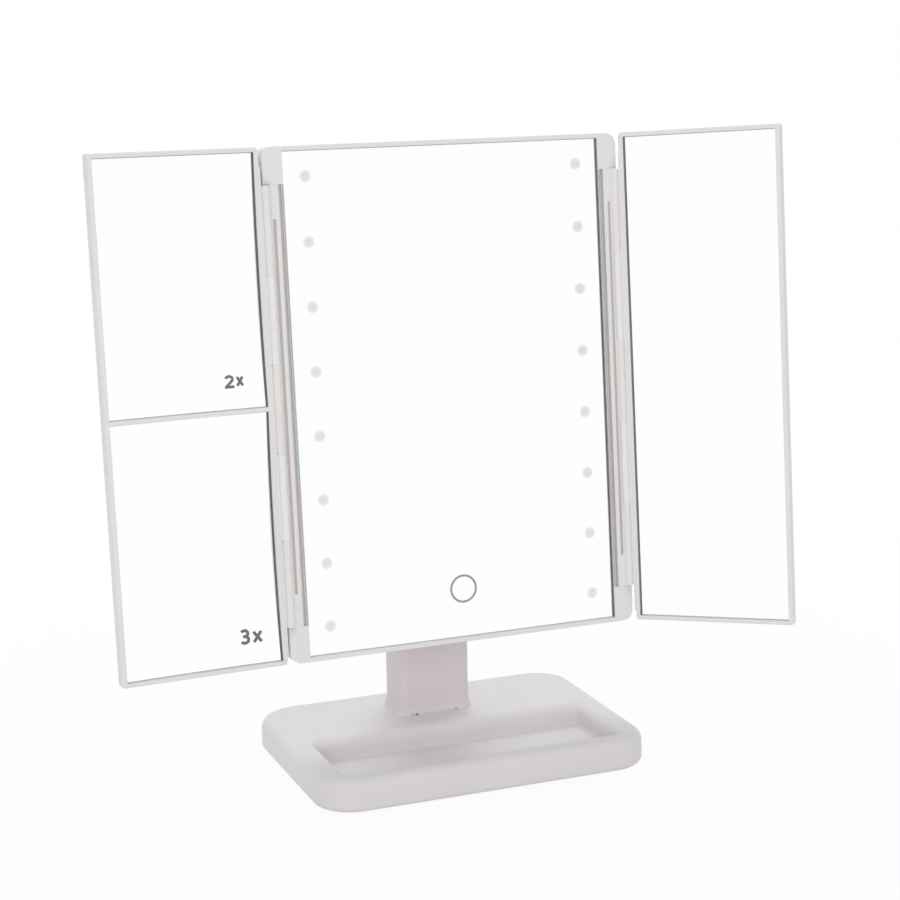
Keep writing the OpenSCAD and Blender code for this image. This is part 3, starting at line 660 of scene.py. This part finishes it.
class Maker:
    """Builds a mesh object from bmesh code and hands it to the frame.

    Points within weld millimetres are joined at the end. The widening at a stroke's bend stops at the share
    mitre, and shares gives the radii of a button's rings as parts of its own.
    """

    weld = 0.0005
    mitre = 0.6
    shares = (0.35, 0.65, 0.85, 1.0)

    def __init__(self, place: Matrix) -> None:
        """Starts an empty mesh.

        Args:
            place: Matrix from the mesh's own millimetres to the row frame.
        """
        self.place = place
        self.mesh = bmesh.new()
        self.fade = self.mesh.verts.layers.float.new(FADE)

    def row(self, points: Sequence[Vector], depth: float | Depth) -> list[bmesh.types.BMVert]:
        """Adds the points of an outline in x and z, at a depth or at the depth of a surface."""
        return [self.mesh.verts.new((p.x, depth(p) if callable(depth) else depth, p.y)) for p in points]

    def join(self, row: Sequence[bmesh.types.BMVert], following: Sequence[bmesh.types.BMVert]) -> None:
        """Closes a band of faces between two rings of points.

        Args:
            row: The first ring, which may be one point all round.
            following: The second ring, with as many points.
        """
        count = len(row)
        for k in range(count):
            j = (k + 1) % count
            corners = (row[k], row[j], following[j], following[k])
            self.mesh.faces.new(corners[1:] if row[k] is row[j] else corners)

    def capped(self, rows: Sequence[Sequence[bmesh.types.BMVert]]) -> None:
        """Joins rings in order and closes both ends.

        Args:
            rows: The rings.
        """
        for row, following in zip(rows, rows[1:]):
            self.join(row, following)
        self.mesh.faces.new(rows[0])
        self.mesh.faces.new(rows[-1][::-1])

    def looped(self, rows: Sequence[Sequence[bmesh.types.BMVert]]) -> None:
        """Joins rings in order and the last one to the first."""
        for row, following in zip(rows, rows[1:] + rows[:1]):
            self.join(row, following)

    def plate(self, points: Sequence[Vector], front: float, back: float) -> None:
        """Adds a plate with the given outline in x and z between two depths."""
        self.capped([self.row(points, front), self.row(points, back)])

    def ring(self, x: float, z: float, radii: Point, ends: Point, steps: int) -> None:
        """Adds a flat ring.

        Args:
            x: Middle, across.
            z: Middle, up.
            radii: The radius at which its section starts and the one at which it ends.
            ends: Its two depths, the first of them at the start of the section.
            steps: Points round it.
        """
        (first, last), (front, back) = radii, ends
        profile = ((first, front), (last, front), (last, back), (first, back))
        self.looped([self.row(disc(x, z, radius, steps), depth) for radius, depth in profile])

    def button(self, x: float, z: float, radius: float, front: float, back: float) -> None:
        """Adds a thin disc whose fade value rises from 0 at its middle to 1 at its edge.

        Args:
            x: Middle, across.
            z: Middle, up.
            radius: Radius of the disc.
            front: Depth of the front face.
            back: Depth of the back face.
        """
        steps = 40
        inner = self.row([Vector((x, z))], front) * steps
        for share in self.shares:
            row = self.row(disc(x, z, radius * share, steps), front)
            for vertex in row:
                vertex[self.fade] = share
            self.join(inner, row)
            inner = row
        rear = self.row(disc(x, z, radius, steps), back)
        self.join(inner, rear)
        self.mesh.faces.new(rear)

    def band(self, inner: Sequence[Vector], outer: Sequence[Vector], front: Depth, back: float) -> None:
        """Adds a flat frame between two outlines whose front follows a curved surface.

        Args:
            inner: Points of the inner outline.
            outer: As many points of the outer outline.
            front: Gives the depth of the front at a point.
            back: Depth of the flat back.
        """
        sides = ((inner, front), (outer, front), (outer, back), (inner, back))
        self.looped([self.row(points, depth) for points, depth in sides])

    def wall(self, sides: Point, ends: Point, front: Depth, back: float) -> None:
        """Adds an upright strip whose front edge follows a curved surface.

        Args:
            sides: The two values of x between which it stands.
            ends: Its foot and its top.
            front: Depth of the front at a point.
            back: Depth of the flat back.
        """
        steps = 24
        first, last = sides
        rows = []
        for i in range(steps + 1):
            z = ends[0] + (ends[1] - ends[0]) * i / steps
            depth = front(Vector((first, z)))
            corners = ((first, depth), (last, depth), (last, back), (first, back))
            rows.append([self.mesh.verts.new((x, y, z)) for x, y in corners])
        self.capped(rows)

    def stroke(self, path: Sequence[Vector], width: float, front: Depth, lift: float, sunk: float) -> None:
        """Adds a thin stroke of even width that lies on a surface.

        Args:
            path: Points of its middle line.
            width: Width of the stroke.
            front: Depth of the surface at a point.
            lift: How far the stroke stands proud of the surface.
            sunk: How far it reaches into the surface.
        """
        rows = []
        for i, point in enumerate(path):
            before, after = path[max(i - 1, 0)], path[min(i + 1, len(path) - 1)]
            ways = [(b - a).normalized() for a, b in ((before, point), (point, after)) if (b - a).length > 0]
            along = sum(ways, Vector((0, 0))).normalized()
            half = width / 2 / max(along.dot(ways[0]), self.mitre)
            across = Vector((-along.y, along.x)) * half
            left, right = point + across, point - across
            corners = ((left, -lift), (right, -lift), (right, sunk), (left, sunk))
            rows.append([self.mesh.verts.new((p.x, front(p) + gap, p.y)) for p, gap in corners])
        self.capped(rows)

    def done(self, name: str, finish: Finish, body: str) -> None:
        """Makes the piece, dresses it and lets it ride on a body.

        Args:
            name: Name of the piece.
            finish: Its finish.
            body: The body that it rides on.
        """
        bmesh.ops.remove_doubles(self.mesh, verts=self.mesh.verts, dist=self.weld)
        bmesh.ops.transform(self.mesh, matrix=self.place, verts=self.mesh.verts)
        bmesh.ops.recalc_face_normals(self.mesh, faces=self.mesh.faces)
        finished(self.mesh, name, finish, body)


def disc(x: float, z: float, radius: float, steps: int) -> list[Vector]:
    """Points of a circle."""
    turns = [2 * math.pi * i / steps for i in range(steps)]
    return [Vector((x + radius * math.cos(a), z + radius * math.sin(a))) for a in turns]


def box(x0: float, x1: float, z0: float, z1: float, steps: int = 1) -> list[Vector]:
    """Points of a rectangle.

    Args:
        x0: Left side.
        x1: Right side.
        z0: Lower side.
        z1: Upper side.
        steps: Pieces that each side is cut into.

    Returns:
        The points in order.
    """
    corners = [Vector((x0, z0)), Vector((x1, z0)), Vector((x1, z1)), Vector((x0, z1))]
    sides = zip(corners, corners[1:] + corners[:1])
    return [a.lerp(b, i / steps) for a, b in sides for i in range(steps)]


def arc(x: float, z: float, radius: float, start: float, end: float, steps: int = 14) -> list[Point]:
    """Points of an arc between two angles in degrees."""
    turns = [math.radians(start + (end - start) * i / steps) for i in range(steps + 1)]
    return [(x + radius * math.cos(a), z + radius * math.sin(a)) for a in turns]


def finished(mesh: bmesh.types.BMesh, name: str, finish: Finish, body: str) -> bpy.types.Object:
    """Turns a bmesh in the row frame into a dressed piece.

    Args:
        mesh: The mesh, which is freed.
        name: Name of the piece.
        finish: Its finish.
        body: The body that it rides on.

    Returns:
        The new object.
    """
    data = bpy.data.meshes.new(name)
    mesh.to_mesh(data)
    mesh.free()
    piece = bpy.data.objects.new(name, data)
    bpy.context.scene.collection.objects.link(piece)
    data.materials.append(finish.material)
    data.shade_smooth()
    data.set_sharp_from_angle(angle=math.radians(SMOOTH))
    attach(piece, body)
    finish.slot
    LOG.info("made %s: %d faces on %s", name, len(data.polygons), body)
    return piece


def dress(node: str, finish: Finish) -> None:
    """Gives a CAD node a finish.

    Args:
        node: Name of the node.
        finish: The finish that fills its material slots.
    """
    piece = frame["nodes"][node]
    if not piece.material_slots:
        piece.data.materials.append(finish.material)
    for holder in piece.material_slots:
        holder.material = finish.material
    finish.slot
    LOG.info("dressed %s with %s", node, finish.name)


def merged_copy(node: str) -> bmesh.types.BMesh:
    """Copies a CAD node's mesh and joins its flat faces.

    Args:
        node: Name of the node.

    Returns:
        The copy.
    """
    mesh = bmesh.new()
    mesh.from_mesh(frame["nodes"][node].data)
    bmesh.ops.remove_doubles(mesh, verts=mesh.verts, dist=WELD)
    bmesh.ops.dissolve_limit(mesh, angle_limit=math.radians(FLAT), verts=mesh.verts, edges=mesh.edges)
    return mesh


def softened(node: str, finish: Finish, edge: float) -> None:
    """Replaces a CAD node by a copy whose sharp edges are eased, as a mould leaves them.

    Args:
        node: Name of the node.
        finish: Its finish.
        edge: Width of the easing in millimetres.
    """
    piece = finished(merged_copy(node), node + "_eased", finish, frame["nodes"][node]["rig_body"])
    easing = piece.modifiers.new("easing", "BEVEL")
    easing.width = edge * MM
    easing.segments = 2
    easing.limit_method = "ANGLE"
    easing.angle_limit = math.radians(EASED)
    easing.harden_normals = True
    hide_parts(node)


def rimmed(node: str, finish: Finish, radius: float, is_outer: Callable[[Vector], bool]) -> None:
    """Replaces a CAD node by a copy that is rounded along its outer outline.

    Args:
        node: Name of the node.
        finish: Its finish.
        radius: Radius of the rounding in millimetres.
        is_outer: Tells from an edge's middle, in the row frame, if it is rounded.
    """
    mesh = merged_copy(node)
    sharp = [e for e in mesh.edges if len(e.link_faces) == 2 and e.calc_face_angle() > math.radians(SHARP)]
    outline = [e for e in sharp if is_outer((e.verts[0].co + e.verts[1].co) / 2)]
    shape = {"offset": radius * MM, "segments": 4, "profile": 0.5, "affect": "EDGES", "clamp_overlap": True}
    bmesh.ops.bevel(mesh, geom=outline, **shape)
    piece = finished(mesh, node + "_rimmed", finish, frame["nodes"][node]["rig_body"])
    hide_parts(node)


# ---------- the printed magnifications ----------


class Glyph(Enum):
    """Strokes of each printed sign, for a sign one unit high."""

    TWO = ([*arc(0.32, 0.68, 0.22, 165, -32), (0.13, 0.12)], [(0.03, 0.1), (0.64, 0.1)])
    THREE = (arc(0.29, 0.71, 0.19, 150, -88), arc(0.29, 0.31, 0.21, 88, -150), [(0.2, 0.52), (0.34, 0.52)])
    TIMES = ([(0.08, 0.0), (0.66, 1.0)], [(0.08, 1.0), (0.66, 0.0)])


@dataclass(frozen=True)
class Sign:
    """One printed sign on a wing: its left side, foot and height, and its width as a share of the glyph's."""

    glyph: Glyph
    left: float
    low: float
    high: float
    wide: float

    def placed(self, u: float, v: float) -> Vector:
        """Place on the wing of a point of the drawn sign."""
        return Vector((self.left - u * self.high * self.wide, self.low + v * self.high))

    def paths(self) -> list[list[Vector]]:
        """Middle lines of the strokes, in the wing's axes."""
        return [[self.placed(u, v) for u, v in path] for path in self.glyph.value]


@dataclass(frozen=True)
class Mark:
    """A magnification: a figure, a times sign and the width of their strokes."""

    figure: Sign
    times: Sign
    stroke: float


# ---------- sub-assemblies ----------


@dataclass
class Base:
    """Tray base: shell, floor, anti-slip pad, weight and screws."""

    finishes: tuple[tuple[str, Finish], ...] = (
        ("base_shell", Finish.SHELL),
        ("base_floor", Finish.INNER),
        ("base_pad", Finish.RUBBER),
        ("base_weight", Finish.IRON),
        ("base_screws", Finish.STEEL),
    )

    def build(self) -> None:
        """Dresses the nodes of the base."""
        for node, finish in self.finishes:
            dress(node, finish)


@dataclass
class Stem:
    """Stem with its wiring cover, screws and the tilt joint."""

    easing: float = 0.3
    seam_x: tuple[Point, ...] = ((-13.15, -11.05), (-9.85, 9.05))
    seam_z: Point = (16.02, 16.38)
    seam_y: Point = (15.32, 16.02)
    plug_x: Point = (-11.0, -9.9)
    plug_z: Point = (16.02, 16.7)
    plug_y: Point = (15.17, 15.67)

    def build(self) -> None:
        """Dresses the stem and the tilt joint."""
        # The stem's darker plastic is painted shade.
        dress("stem_post", Finish.STEM)
        softened("stem_cover", Finish.STEM, self.easing)
        softened("tilt_bracket", Finish.PANEL, self.easing)
        for node in ("stem_screws", "tilt_bolt", "tilt_nut", "tilt_washers", "bracket_screws"):
            dress(node, Finish.STEEL)
        self.seam()

    def seam(self) -> None:
        """Fills the seam between the stem and the base, and puts a black plate of painted shade in its notch.
        """
        seam, plug = Maker(ROW_FRAME), Maker(ROW_FRAME)
        for ends in self.seam_x:
            seam.plate(box(*ends, *self.seam_z), *self.seam_y)
        plug.plate(box(*self.plug_x, *self.plug_z), *self.plug_y)
        seam.done("stem_seam", Finish.STEM, "base")
        # Painted shade: a black plate in the notch, in the black of the foam tape.
        plug.done("stem_plug", Finish.TAPE, "base")


@dataclass(kw_only=True)
class Panel:
    """Sizes that the middle panel and the wings share.

    A filler stays clear of what it fills by the gaps called seat, hair and clear.
    """

    open_h: float = 225.4
    recess: float = 1.9
    gap: float = 0.35
    rim: float = 2.0
    near_rim: float = 1.0
    rounding: float = 0.9
    easing: float = 0.3
    painted_shade_t: float = 0.06
    film: float = 0.04
    seat: float = 0.005
    hair: float = 0.01
    clear: float = 0.02
    hinge: Hinge = Hinge()

    def past_end(self, z: float) -> bool:
        """Tells if a height is near the outer outline's foot or top."""
        return z < self.near_rim - self.rim or z > self.open_h + self.rim - self.near_rim


@dataclass
class CentrePanel(Panel):
    """Centre housing with its glass, lights, touch ring and hinge strips."""

    open_x: float = 75.8
    case_x: float = 85.0
    light_x: float = 65.1
    light_low: float = 12.9
    light_high: float = 11.4
    light_n: int = 8
    spot_r: float = 2.7
    ring_z: float = 22.5
    ring_r: float = 6.1
    ring_w: float = 1.05
    strip_easing: float = 0.12
    painted_shade_y: Point = (-1.4, 1.9)
    slot: Point = (76.7, 78.2)
    slot_y: float = 0.5
    slot_in: float = 0.15
    slot_floor: float = 0.1
    painted_ridge_shade_in: float = 0.1
    painted_ridge_shade_t: float = 0.03
    gasket_y: Point = (0.05, 1.5)
    washer_w: float = 0.9
    washer_in: float = 0.05
    lip_from: float = 178.0
    lip_to: float = 150.0
    shim_h: float = 0.15
    shim_end: float = 1.6
    shim_in: float = 0.1

    def build(self) -> None:
        """Builds and dresses the centre panel."""
        # The panels' lighter plastic is painted light.
        rimmed("centre_frame", Finish.PANEL, self.rounding, self.is_outer)
        softened("hinge_strips", Finish.PANEL, self.strip_easing)
        # The inserts' brown-grey colour is painted shade of the groove.
        dress("groove_inserts", Finish.INSERT)
        dress("hinge_pins", Finish.STEEL)
        dress("centre_glass", Finish.GLASS)
        dress("glass_tape", Finish.TAPE)
        self.spots()
        self.touch_ring()
        self.painted_shades()
        self.gasket()
        self.bushes()
        self.shims()

    def is_outer(self, place: Vector) -> bool:
        """Tells if a place on the frame lies on its outer outline.

        Args:
            place: The place, in the row frame.

        Returns:
            True where the frame is rounded.
        """
        here = Lean().matrix().inverted() @ place
        foot, top = self.hinge.strip
        at_strip = foot - self.near_rim < here.z < top + self.near_rim
        return self.past_end(here.z) or abs(here.x) > self.case_x - self.near_rim and not at_strip

    def spots(self) -> None:
        """Frosted discs on the glass in front of each light."""
        maker = Maker(Lean().matrix())
        step = (self.open_h - self.light_low - self.light_high) / (self.light_n - 1)
        for side in (-1, 1):
            for i in range(self.light_n):
                maker.button(side * self.light_x, self.light_low + i * step, self.spot_r, -self.film, 0)
        maker.done("light_spots", Finish.SPOT, "centre")

    def touch_ring(self) -> None:
        """Frosted line round the touch mark."""
        maker = Maker(Lean().matrix())
        inner = self.ring_r - self.ring_w / 2
        maker.ring(0, self.ring_z, (inner, inner + self.ring_w), (-self.film, 0), steps=72)
        maker.done("touch_ring", Finish.RING, "centre")

    @staticmethod
    def across(side: int, first: float, last: float, low: float, high: float) -> list[Vector]:
        """Corners of a rectangle on one side of the panel."""
        return box(*sorted((side * first, side * last)), low, high)

    def painted_shades(self) -> None:
        """Painted shade: grey sheets on the walls beside the glass and in the two slots, with a grey strip of
        painted shade on the ridge between them.
        """
        walls, slots, painted_ridge_shades = (Maker(Lean().matrix()) for _ in range(3))
        first, last = self.slot
        thick = self.hair + self.painted_shade_t
        mouth, floor = self.slot_in - self.recess, self.slot_y - self.slot_floor
        for side in (-1, 1):
            edge, wall = self.open_x - self.painted_shade_t, self.open_x - self.seat
            # A dark sheet of painted shade on each wall beside the glass.
            walls.plate(self.across(side, edge, wall, 0, self.open_h), *self.painted_shade_y)
            # Painted shade: grey sheets on the sides and floor of each slot.
            for x0, x1 in ((first + self.hair, first + thick), (last - thick, last - self.hair)):
                slots.plate(self.across(side, x0, x1, *self.hinge.strip), mouth, self.slot_y)
            bottom = self.across(side, first + thick, last - thick, *self.hinge.strip)
            slots.plate(bottom, floor, self.slot_y - self.clear)
            # Painted shade: a grey strip on the ridge between the wall and the slot.
            face = self.across(side, self.open_x + self.painted_ridge_shade_in, first - self.painted_ridge_shade_in, *self.hinge.strip)
            painted_ridge_shades.plate(face, -self.recess - self.painted_ridge_shade_t, -self.recess)
        walls.done("centre_linings", Finish.LINING, "centre")
        slots.done("slot_linings", Finish.INNER, "centre")
        painted_ridge_shades.done("wall_trims", Finish.TRIM, "centre")

    def gasket(self) -> None:
        """Pale gasket in the gap above and below the glass."""
        maker = Maker(Lean().matrix())
        inside = self.open_x - self.painted_shade_t - self.clear
        for low in (self.hair, self.open_h - self.gap + self.hair):
            maker.plate(box(-inside, inside, low, low + self.gap - 2 * self.hair), *self.gasket_y)
        maker.done("centre_gasket", Finish.GASKET, "centre")

    def bushes(self) -> None:
        """Washers at both ends of the wings' knuckles, and a lip beside each knuckle."""
        maker = Maker(Lean().matrix() @ UPRIGHT)
        hinge = self.hinge
        rim = hinge.bead_r - self.washer_in
        inner = arc(hinge.x, hinge.y, hinge.bead_r + hinge.fit, self.lip_from, self.lip_to, steps=8)
        outer = arc(hinge.x, hinge.y, hinge.sweep_r - self.hair, self.lip_to, self.lip_from, steps=8)
        for side in (-1, 1):
            lip = [Vector((side * x, y)) for x, y in inner + outer]
            for low, high in hinge.knuckles(1):
                for end in (low, high - hinge.knuckle_side):
                    ends = (end + self.clear, end + hinge.knuckle_side - self.clear)
                    maker.ring(side * hinge.x, hinge.y, (rim - self.washer_w, rim), ends, steps=48)
                maker.plate(lip, low + hinge.knuckle_side, high - hinge.knuckle_side)
        maker.done("hinge_bushes", Finish.PANEL, "centre")

    def shims(self) -> None:
        """Shims in the gaps at both ends of the hinge strips."""
        maker = Maker(Lean().matrix())
        foot, top = self.hinge.strip
        first, last = self.slot[1] + self.clear, self.hinge.x - self.shim_end
        for side in (-1, 1):
            for low in (foot + self.hair, top - self.shim_h + self.hair):
                points = self.across(side, first, last, low, low + self.shim_h - 2 * self.hair)
                maker.plate(points, self.shim_in - self.recess, self.slot_y)
        maker.done("strip_shims", Finish.PANEL, "centre")


@dataclass
class BackBox:
    """Back cover, battery box and the boards behind the glass."""

    cover_easing: float = 0.3
    door_easing: float = 0.25
    finishes: tuple[tuple[str, Finish], ...] = (
        ("cover_screws", Finish.STEEL),
        ("battery_tray", Finish.INNER),
        ("battery_contacts", Finish.STEEL),
        ("battery_cells", Finish.WRAP),
        ("usb_socket", Finish.STEEL),
        ("light_windows", Finish.DIFFUSER),
        ("led_boards", Finish.BOARD_WHITE),
        ("led_chips", Finish.PHOSPHOR),
        ("touch_pad", Finish.COPPER),
        ("control_board", Finish.BOARD_GREEN),
        ("board_parts", Finish.CHIP),
    )

    def build(self) -> None:
        """Dresses the nodes of the back."""
        softened("back_cover", Finish.PANEL, self.cover_easing)
        softened("battery_door", Finish.PANEL, self.door_easing)
        for node, finish in self.finishes:
            dress(node, finish)


@dataclass(frozen=True)
class Pane:
    """One mirror pane in a wing, flat or hollow, with its printed mark."""

    node: str
    low: float
    high: float
    radius: float = 0.0
    mark: Mark | None = None

    def deep(self, middle: float, half: float, gap: float) -> Depth:
        """Depth of the pane's front behind its corners.

        Args:
            middle: Distance of its middle from the hinge axis.
            half: Half the width of its opening.
            gap: Gap round the pane.

        Returns:
            A function from a point to the depth.
        """
        centre = Vector((middle, (self.low + self.high) / 2))
        corner = math.hypot(half, (self.high - self.low) / 2 - gap) + gap

        def depth(point: Vector) -> float:
            """Depth at a point.

            Args:
                point: The point, in x and z.

            Returns:
                The depth.
            """
            if not self.radius:
                return 0.0
            reach = min((point - centre).length, corner)
            return math.sqrt(self.radius**2 - reach**2) - math.sqrt(self.radius**2 - corner**2)

        return depth


@dataclass
class Wing(Panel):
    """One wing: frame, back, panes, leaf, screws, linings and marks."""

    name: str
    swing: Swing
    panes: tuple[Pane, ...]
    painted_shade: Finish
    start: float = 4.6
    width: float = 71.85
    front: float = 0.6
    leaf: float = 2.1
    painted_shade_h: float = 1.7
    lining_back: float = 2.4
    gasket_y: Point = (0.05, 2.6)
    lip_from: float = 11.0
    lip_to: float = 38.0
    lip_end: float = 0.4
    mark_step: float = 0.1

    @property
    def body(self) -> str:
        """Name of the body that the wing's pieces ride on."""
        return f"{self.name}_wing"

    @property
    def face(self) -> float:
        """Depth of the panes' corners behind the hinge axis."""
        return self.front + self.recess

    @property
    def end(self) -> float:
        """Distance of the opening's far side from the hinge axis."""
        return self.start + self.width

    def build(self) -> None:
        """One wing: frame, back, panes, leaf, screws, painted wall shade and marks."""
        rimmed(f"{self.name}_frame", Finish.PANEL, self.rounding, self.is_outer)
        softened(f"{self.name}_back", Finish.PANEL, self.easing)
        dress(f"{self.name}_leaf", Finish.LEAF)
        for pane in self.panes:
            dress(pane.node, Finish.GLASS)
        dress(f"{self.name}_tape", Finish.TAPE)
        dress(f"{self.name}_leaf_screws", Finish.STEEL)
        self.painted_shades()
        self.gaskets()
        self.hinge_lips()
        marked = [pane for pane in self.panes if pane.mark]
        if marked:
            self.print_marks(marked)

    def is_outer(self, place: Vector) -> bool:
        """Tells if a place on the frame lies on its outer outline, away from the hinge."""
        here = self.swing.matrix().inverted() @ place
        return self.past_end(here.z) or here.x > self.end + self.rim - self.near_rim

    def depth(self, pane: Pane, shift: float = 0.0) -> Depth:
        """Depth of a pane's front.

        Args:
            pane: The pane.
            shift: How far behind that front the depth is taken.

        Returns:
            A function from a point to the depth, in the wing's axes.
        """
        deep = pane.deep(self.start + self.width / 2, self.width / 2, self.gap)
        return lambda point: self.face + deep(point) + shift

    def painted_shades(self) -> None:
        """Dark sheet of painted shade on the wall beside the hinge, as high everywhere above the pane."""
        maker = Maker(self.swing.matrix())
        sides = (self.start + self.seat, self.start + self.painted_shade_t)
        for pane in self.panes:
            ends = (pane.low, pane.high)
            maker.wall(sides, ends, self.depth(pane, -self.painted_shade_h), self.face + self.lining_back)
        maker.done(f"{self.name}_lining", self.painted_shade, self.body)

    def gaskets(self) -> None:
        """Pale gasket in the gap round each pane."""
        maker = Maker(self.swing.matrix())
        steps = 16
        inside = self.start + self.painted_shade_t + self.clear
        edge = self.gap - self.hair
        front, back = self.gasket_y
        for pane in self.panes:
            inner = box(inside + self.clear, self.end - edge, pane.low + edge, pane.high - edge, steps)
            outer = box(inside, self.end - self.hair, pane.low + self.hair, pane.high - self.hair, steps)
            maker.band(inner, outer, self.depth(pane, front), self.face + back)
        maker.done(f"{self.name}_gasket", Finish.GASKET, self.body)

    def hinge_lips(self) -> None:
        """Lips of the leaf that follow the middle panel's knuckles."""
        maker = Maker(self.swing.matrix() @ UPRIGHT)
        curve = arc(0, 0, self.hinge.bead_r + self.hinge.fit, self.lip_from, self.lip_to, steps=6)
        flat = [(self.leaf - self.hair, curve[-1][1]), (self.leaf - self.hair, curve[0][1])]
        points = [Vector(point) for point in curve + flat]
        for low, high in self.hinge.knuckles(0):
            maker.plate(points, low + self.lip_end, high - self.lip_end)
        maker.done(f"{self.name}_hinge_lips", Finish.LEAF, self.body)

    def print_marks(self, panes: Sequence[Pane]) -> None:
        """Prints the marks, with every stroke a little prouder than the one before.

        Args:
            panes: The panes that have a mark.
        """
        maker = Maker(self.swing.matrix())
        for pane in panes:
            mark, surface = pane.mark, self.depth(pane)
            for i, path in enumerate(mark.figure.paths() + mark.times.paths()):
                maker.stroke(path, mark.stroke, surface, self.film * (1 + self.mark_step * i), self.clear)
        maker.done(f"{self.name}_marks", Finish.MARK, self.body)


# ---------- studio, in metres ----------


@dataclass(frozen=True)
class Lamp:
    """A square soft lamp that looks at the middle of the object, unseen in the mirrors."""

    name: str
    place: Place
    size: float
    power: float
    colour: Colour
    aim: Place = (0.0, 0.0, 0.12)

    def build(self) -> None:
        """Sets the lamp up."""
        data = bpy.data.lights.new(self.name, "AREA")
        data.size = self.size
        data.energy = self.power
        data.color = self.colour
        holder = bpy.data.objects.new(self.name, data)
        holder.location = self.place
        way = Vector(self.aim) - Vector(self.place)
        holder.rotation_euler = way.to_track_quat("-Z", "Y").to_euler()
        bpy.context.scene.collection.objects.link(holder)
        holder.visible_glossy = False


@dataclass
class Studio:
    """Camera, floor, surroundings and lamps.

    The camera is turned from looking straight down by its roll, then tipped up, then swung to its heading.
    """

    place: Place = (-0.34316, -0.88276, 0.34847)
    heading: float = -21.3996
    tip: float = 78.0761
    roll: float = -0.9471
    lens: float = 83.407
    sensor: float = 36.0
    clip: Point = (0.01, 50.0)
    floor_half: float = 4.0
    floor_colour: Colour = (0.9, 0.9, 0.9)
    floor_rough: float = 0.9
    near_share: float = 0.93
    near: float = 0.12
    far: float = 0.5
    sky_light: float = 0.57
    lamps: tuple[Lamp, ...] = (
        Lamp("front_lamp", (-0.9, -2.0, 0.75), size=1.2, power=12.5, colour=(1.0, 0.99, 0.96)),
        Lamp("top_lamp", (0.3, 0.7, 1.8), size=1.0, power=11.0, colour=(0.88, 0.94, 1.0)),
    )

    def build(self) -> None:
        """Builds the whole studio."""
        self.camera()
        self.floor()
        self.surroundings()
        for lamp in self.lamps:
            lamp.build()
        bpy.context.scene.view_settings.view_transform = "Standard"

    def camera(self) -> None:
        """Camera at the photograph's viewing angle."""
        data = bpy.data.cameras.new("camera")
        data.lens = self.lens
        data.sensor_width = self.sensor
        data.clip_start, data.clip_end = self.clip
        holder = bpy.data.objects.new("camera", data)
        stand = Matrix.Translation(self.place)
        for angle, axis in ((self.heading, "Z"), (self.tip, "X"), (self.roll, "Z")):
            stand = stand @ Matrix.Rotation(math.radians(angle), 4, axis)
        holder.matrix_world = stand
        bpy.context.scene.collection.objects.link(holder)
        bpy.context.scene.camera = holder

    def floor(self) -> None:
        """Pale floor that keeps the object's shadow."""
        half = self.floor_half
        mesh = bmesh.new()
        mesh.faces.new([mesh.verts.new((p.x, p.y, 0)) for p in box(-half, half, -half, half)])
        data = bpy.data.meshes.new("floor")
        mesh.to_mesh(data)
        mesh.free()
        data.materials.append(self.floor_material())
        ground = bpy.data.objects.new("floor", data)
        bpy.context.scene.collection.objects.link(ground)

    def floor_material(self) -> bpy.types.Material:
        """Floor that the camera sees as white, more so away from the object.

        Returns:
            The material.
        """
        recipe = Recipe("floor_white")
        recipe.feed(Base_Color=self.floor_colour, Roughness=self.floor_rough)
        glow = recipe.node("ShaderNodeEmission", {}, {"Color": WHITE, "Strength": 1.0})
        away = recipe.node("ShaderNodeVectorMath", {"operation": "LENGTH"}, {0: recipe.place}, "Value")
        ends = {"Value": away, "From Min": self.near, "From Max": self.far, "To Min": self.near_share}
        share = recipe.node("ShaderNodeMapRange", {"interpolation_type": "SMOOTHSTEP"}, ends)
        sides = {0: recipe.seen() * share, 1: recipe.surface, 2: glow}
        recipe.show(recipe.node("ShaderNodeMixShader", {}, sides))
        return recipe.material

    def surroundings(self) -> None:
        """White surroundings that light the object at a plain level."""
        world = bpy.data.worlds.new("white_room")
        bpy.context.scene.world = world
        nodes = Nodes(world, "ShaderNodeOutputWorld")
        level = nodes.node("ShaderNodeMapRange", {}, {"Value": nodes.seen(), "To Min": self.sky_light})
        nodes.show(nodes.node("ShaderNodeBackground", {}, {"Color": WHITE, "Strength": level}))


def left_panes() -> tuple[Pane, Pane]:
    """Lays out the left wing's two hollow panes and their marks.

    Returns:
        The upper and the lower pane.
    """
    upper_mark = Mark(
        Sign(Glyph.TWO, left=23.3, low=123.7, high=5.8, wide=1.24),
        Sign(Glyph.TIMES, left=17.7, low=124.5, high=3.9, wide=1.12),
        stroke=1.25,
    )
    lower_mark = Mark(
        Sign(Glyph.THREE, left=23.4, low=9.2, high=7.0, wide=1.2),
        Sign(Glyph.TIMES, left=17.3, low=9.8, high=4.7, wide=1.32),
        stroke=1.4,
    )
    return (
        Pane("left_glass_2x", low=114.15, high=225.4, radius=1000.0, mark=upper_mark),
        Pane("left_glass_3x", low=0.0, high=112.25, radius=750.0, mark=lower_mark),
    )


def main() -> None:
    """Builds the studio and every sub-assembly in order."""
    logging.basicConfig(level=logging.INFO, format="%(name)s: %(message)s")
    Studio().build()
    Base().build()
    Stem().build()
    CentrePanel().build()
    BackBox().build()
    # The left wing's walls get the darker painted shade, the right wing's walls the lighter one.
    Wing("left", Swing(-1, 3.6), left_panes(), Finish.DARK_LINING).build()
    Wing("right", Swing(1, 44.6), (Pane("right_glass", low=0.0, high=225.4),), Finish.LINING).build()


if __name__ == "__main__":
    main()
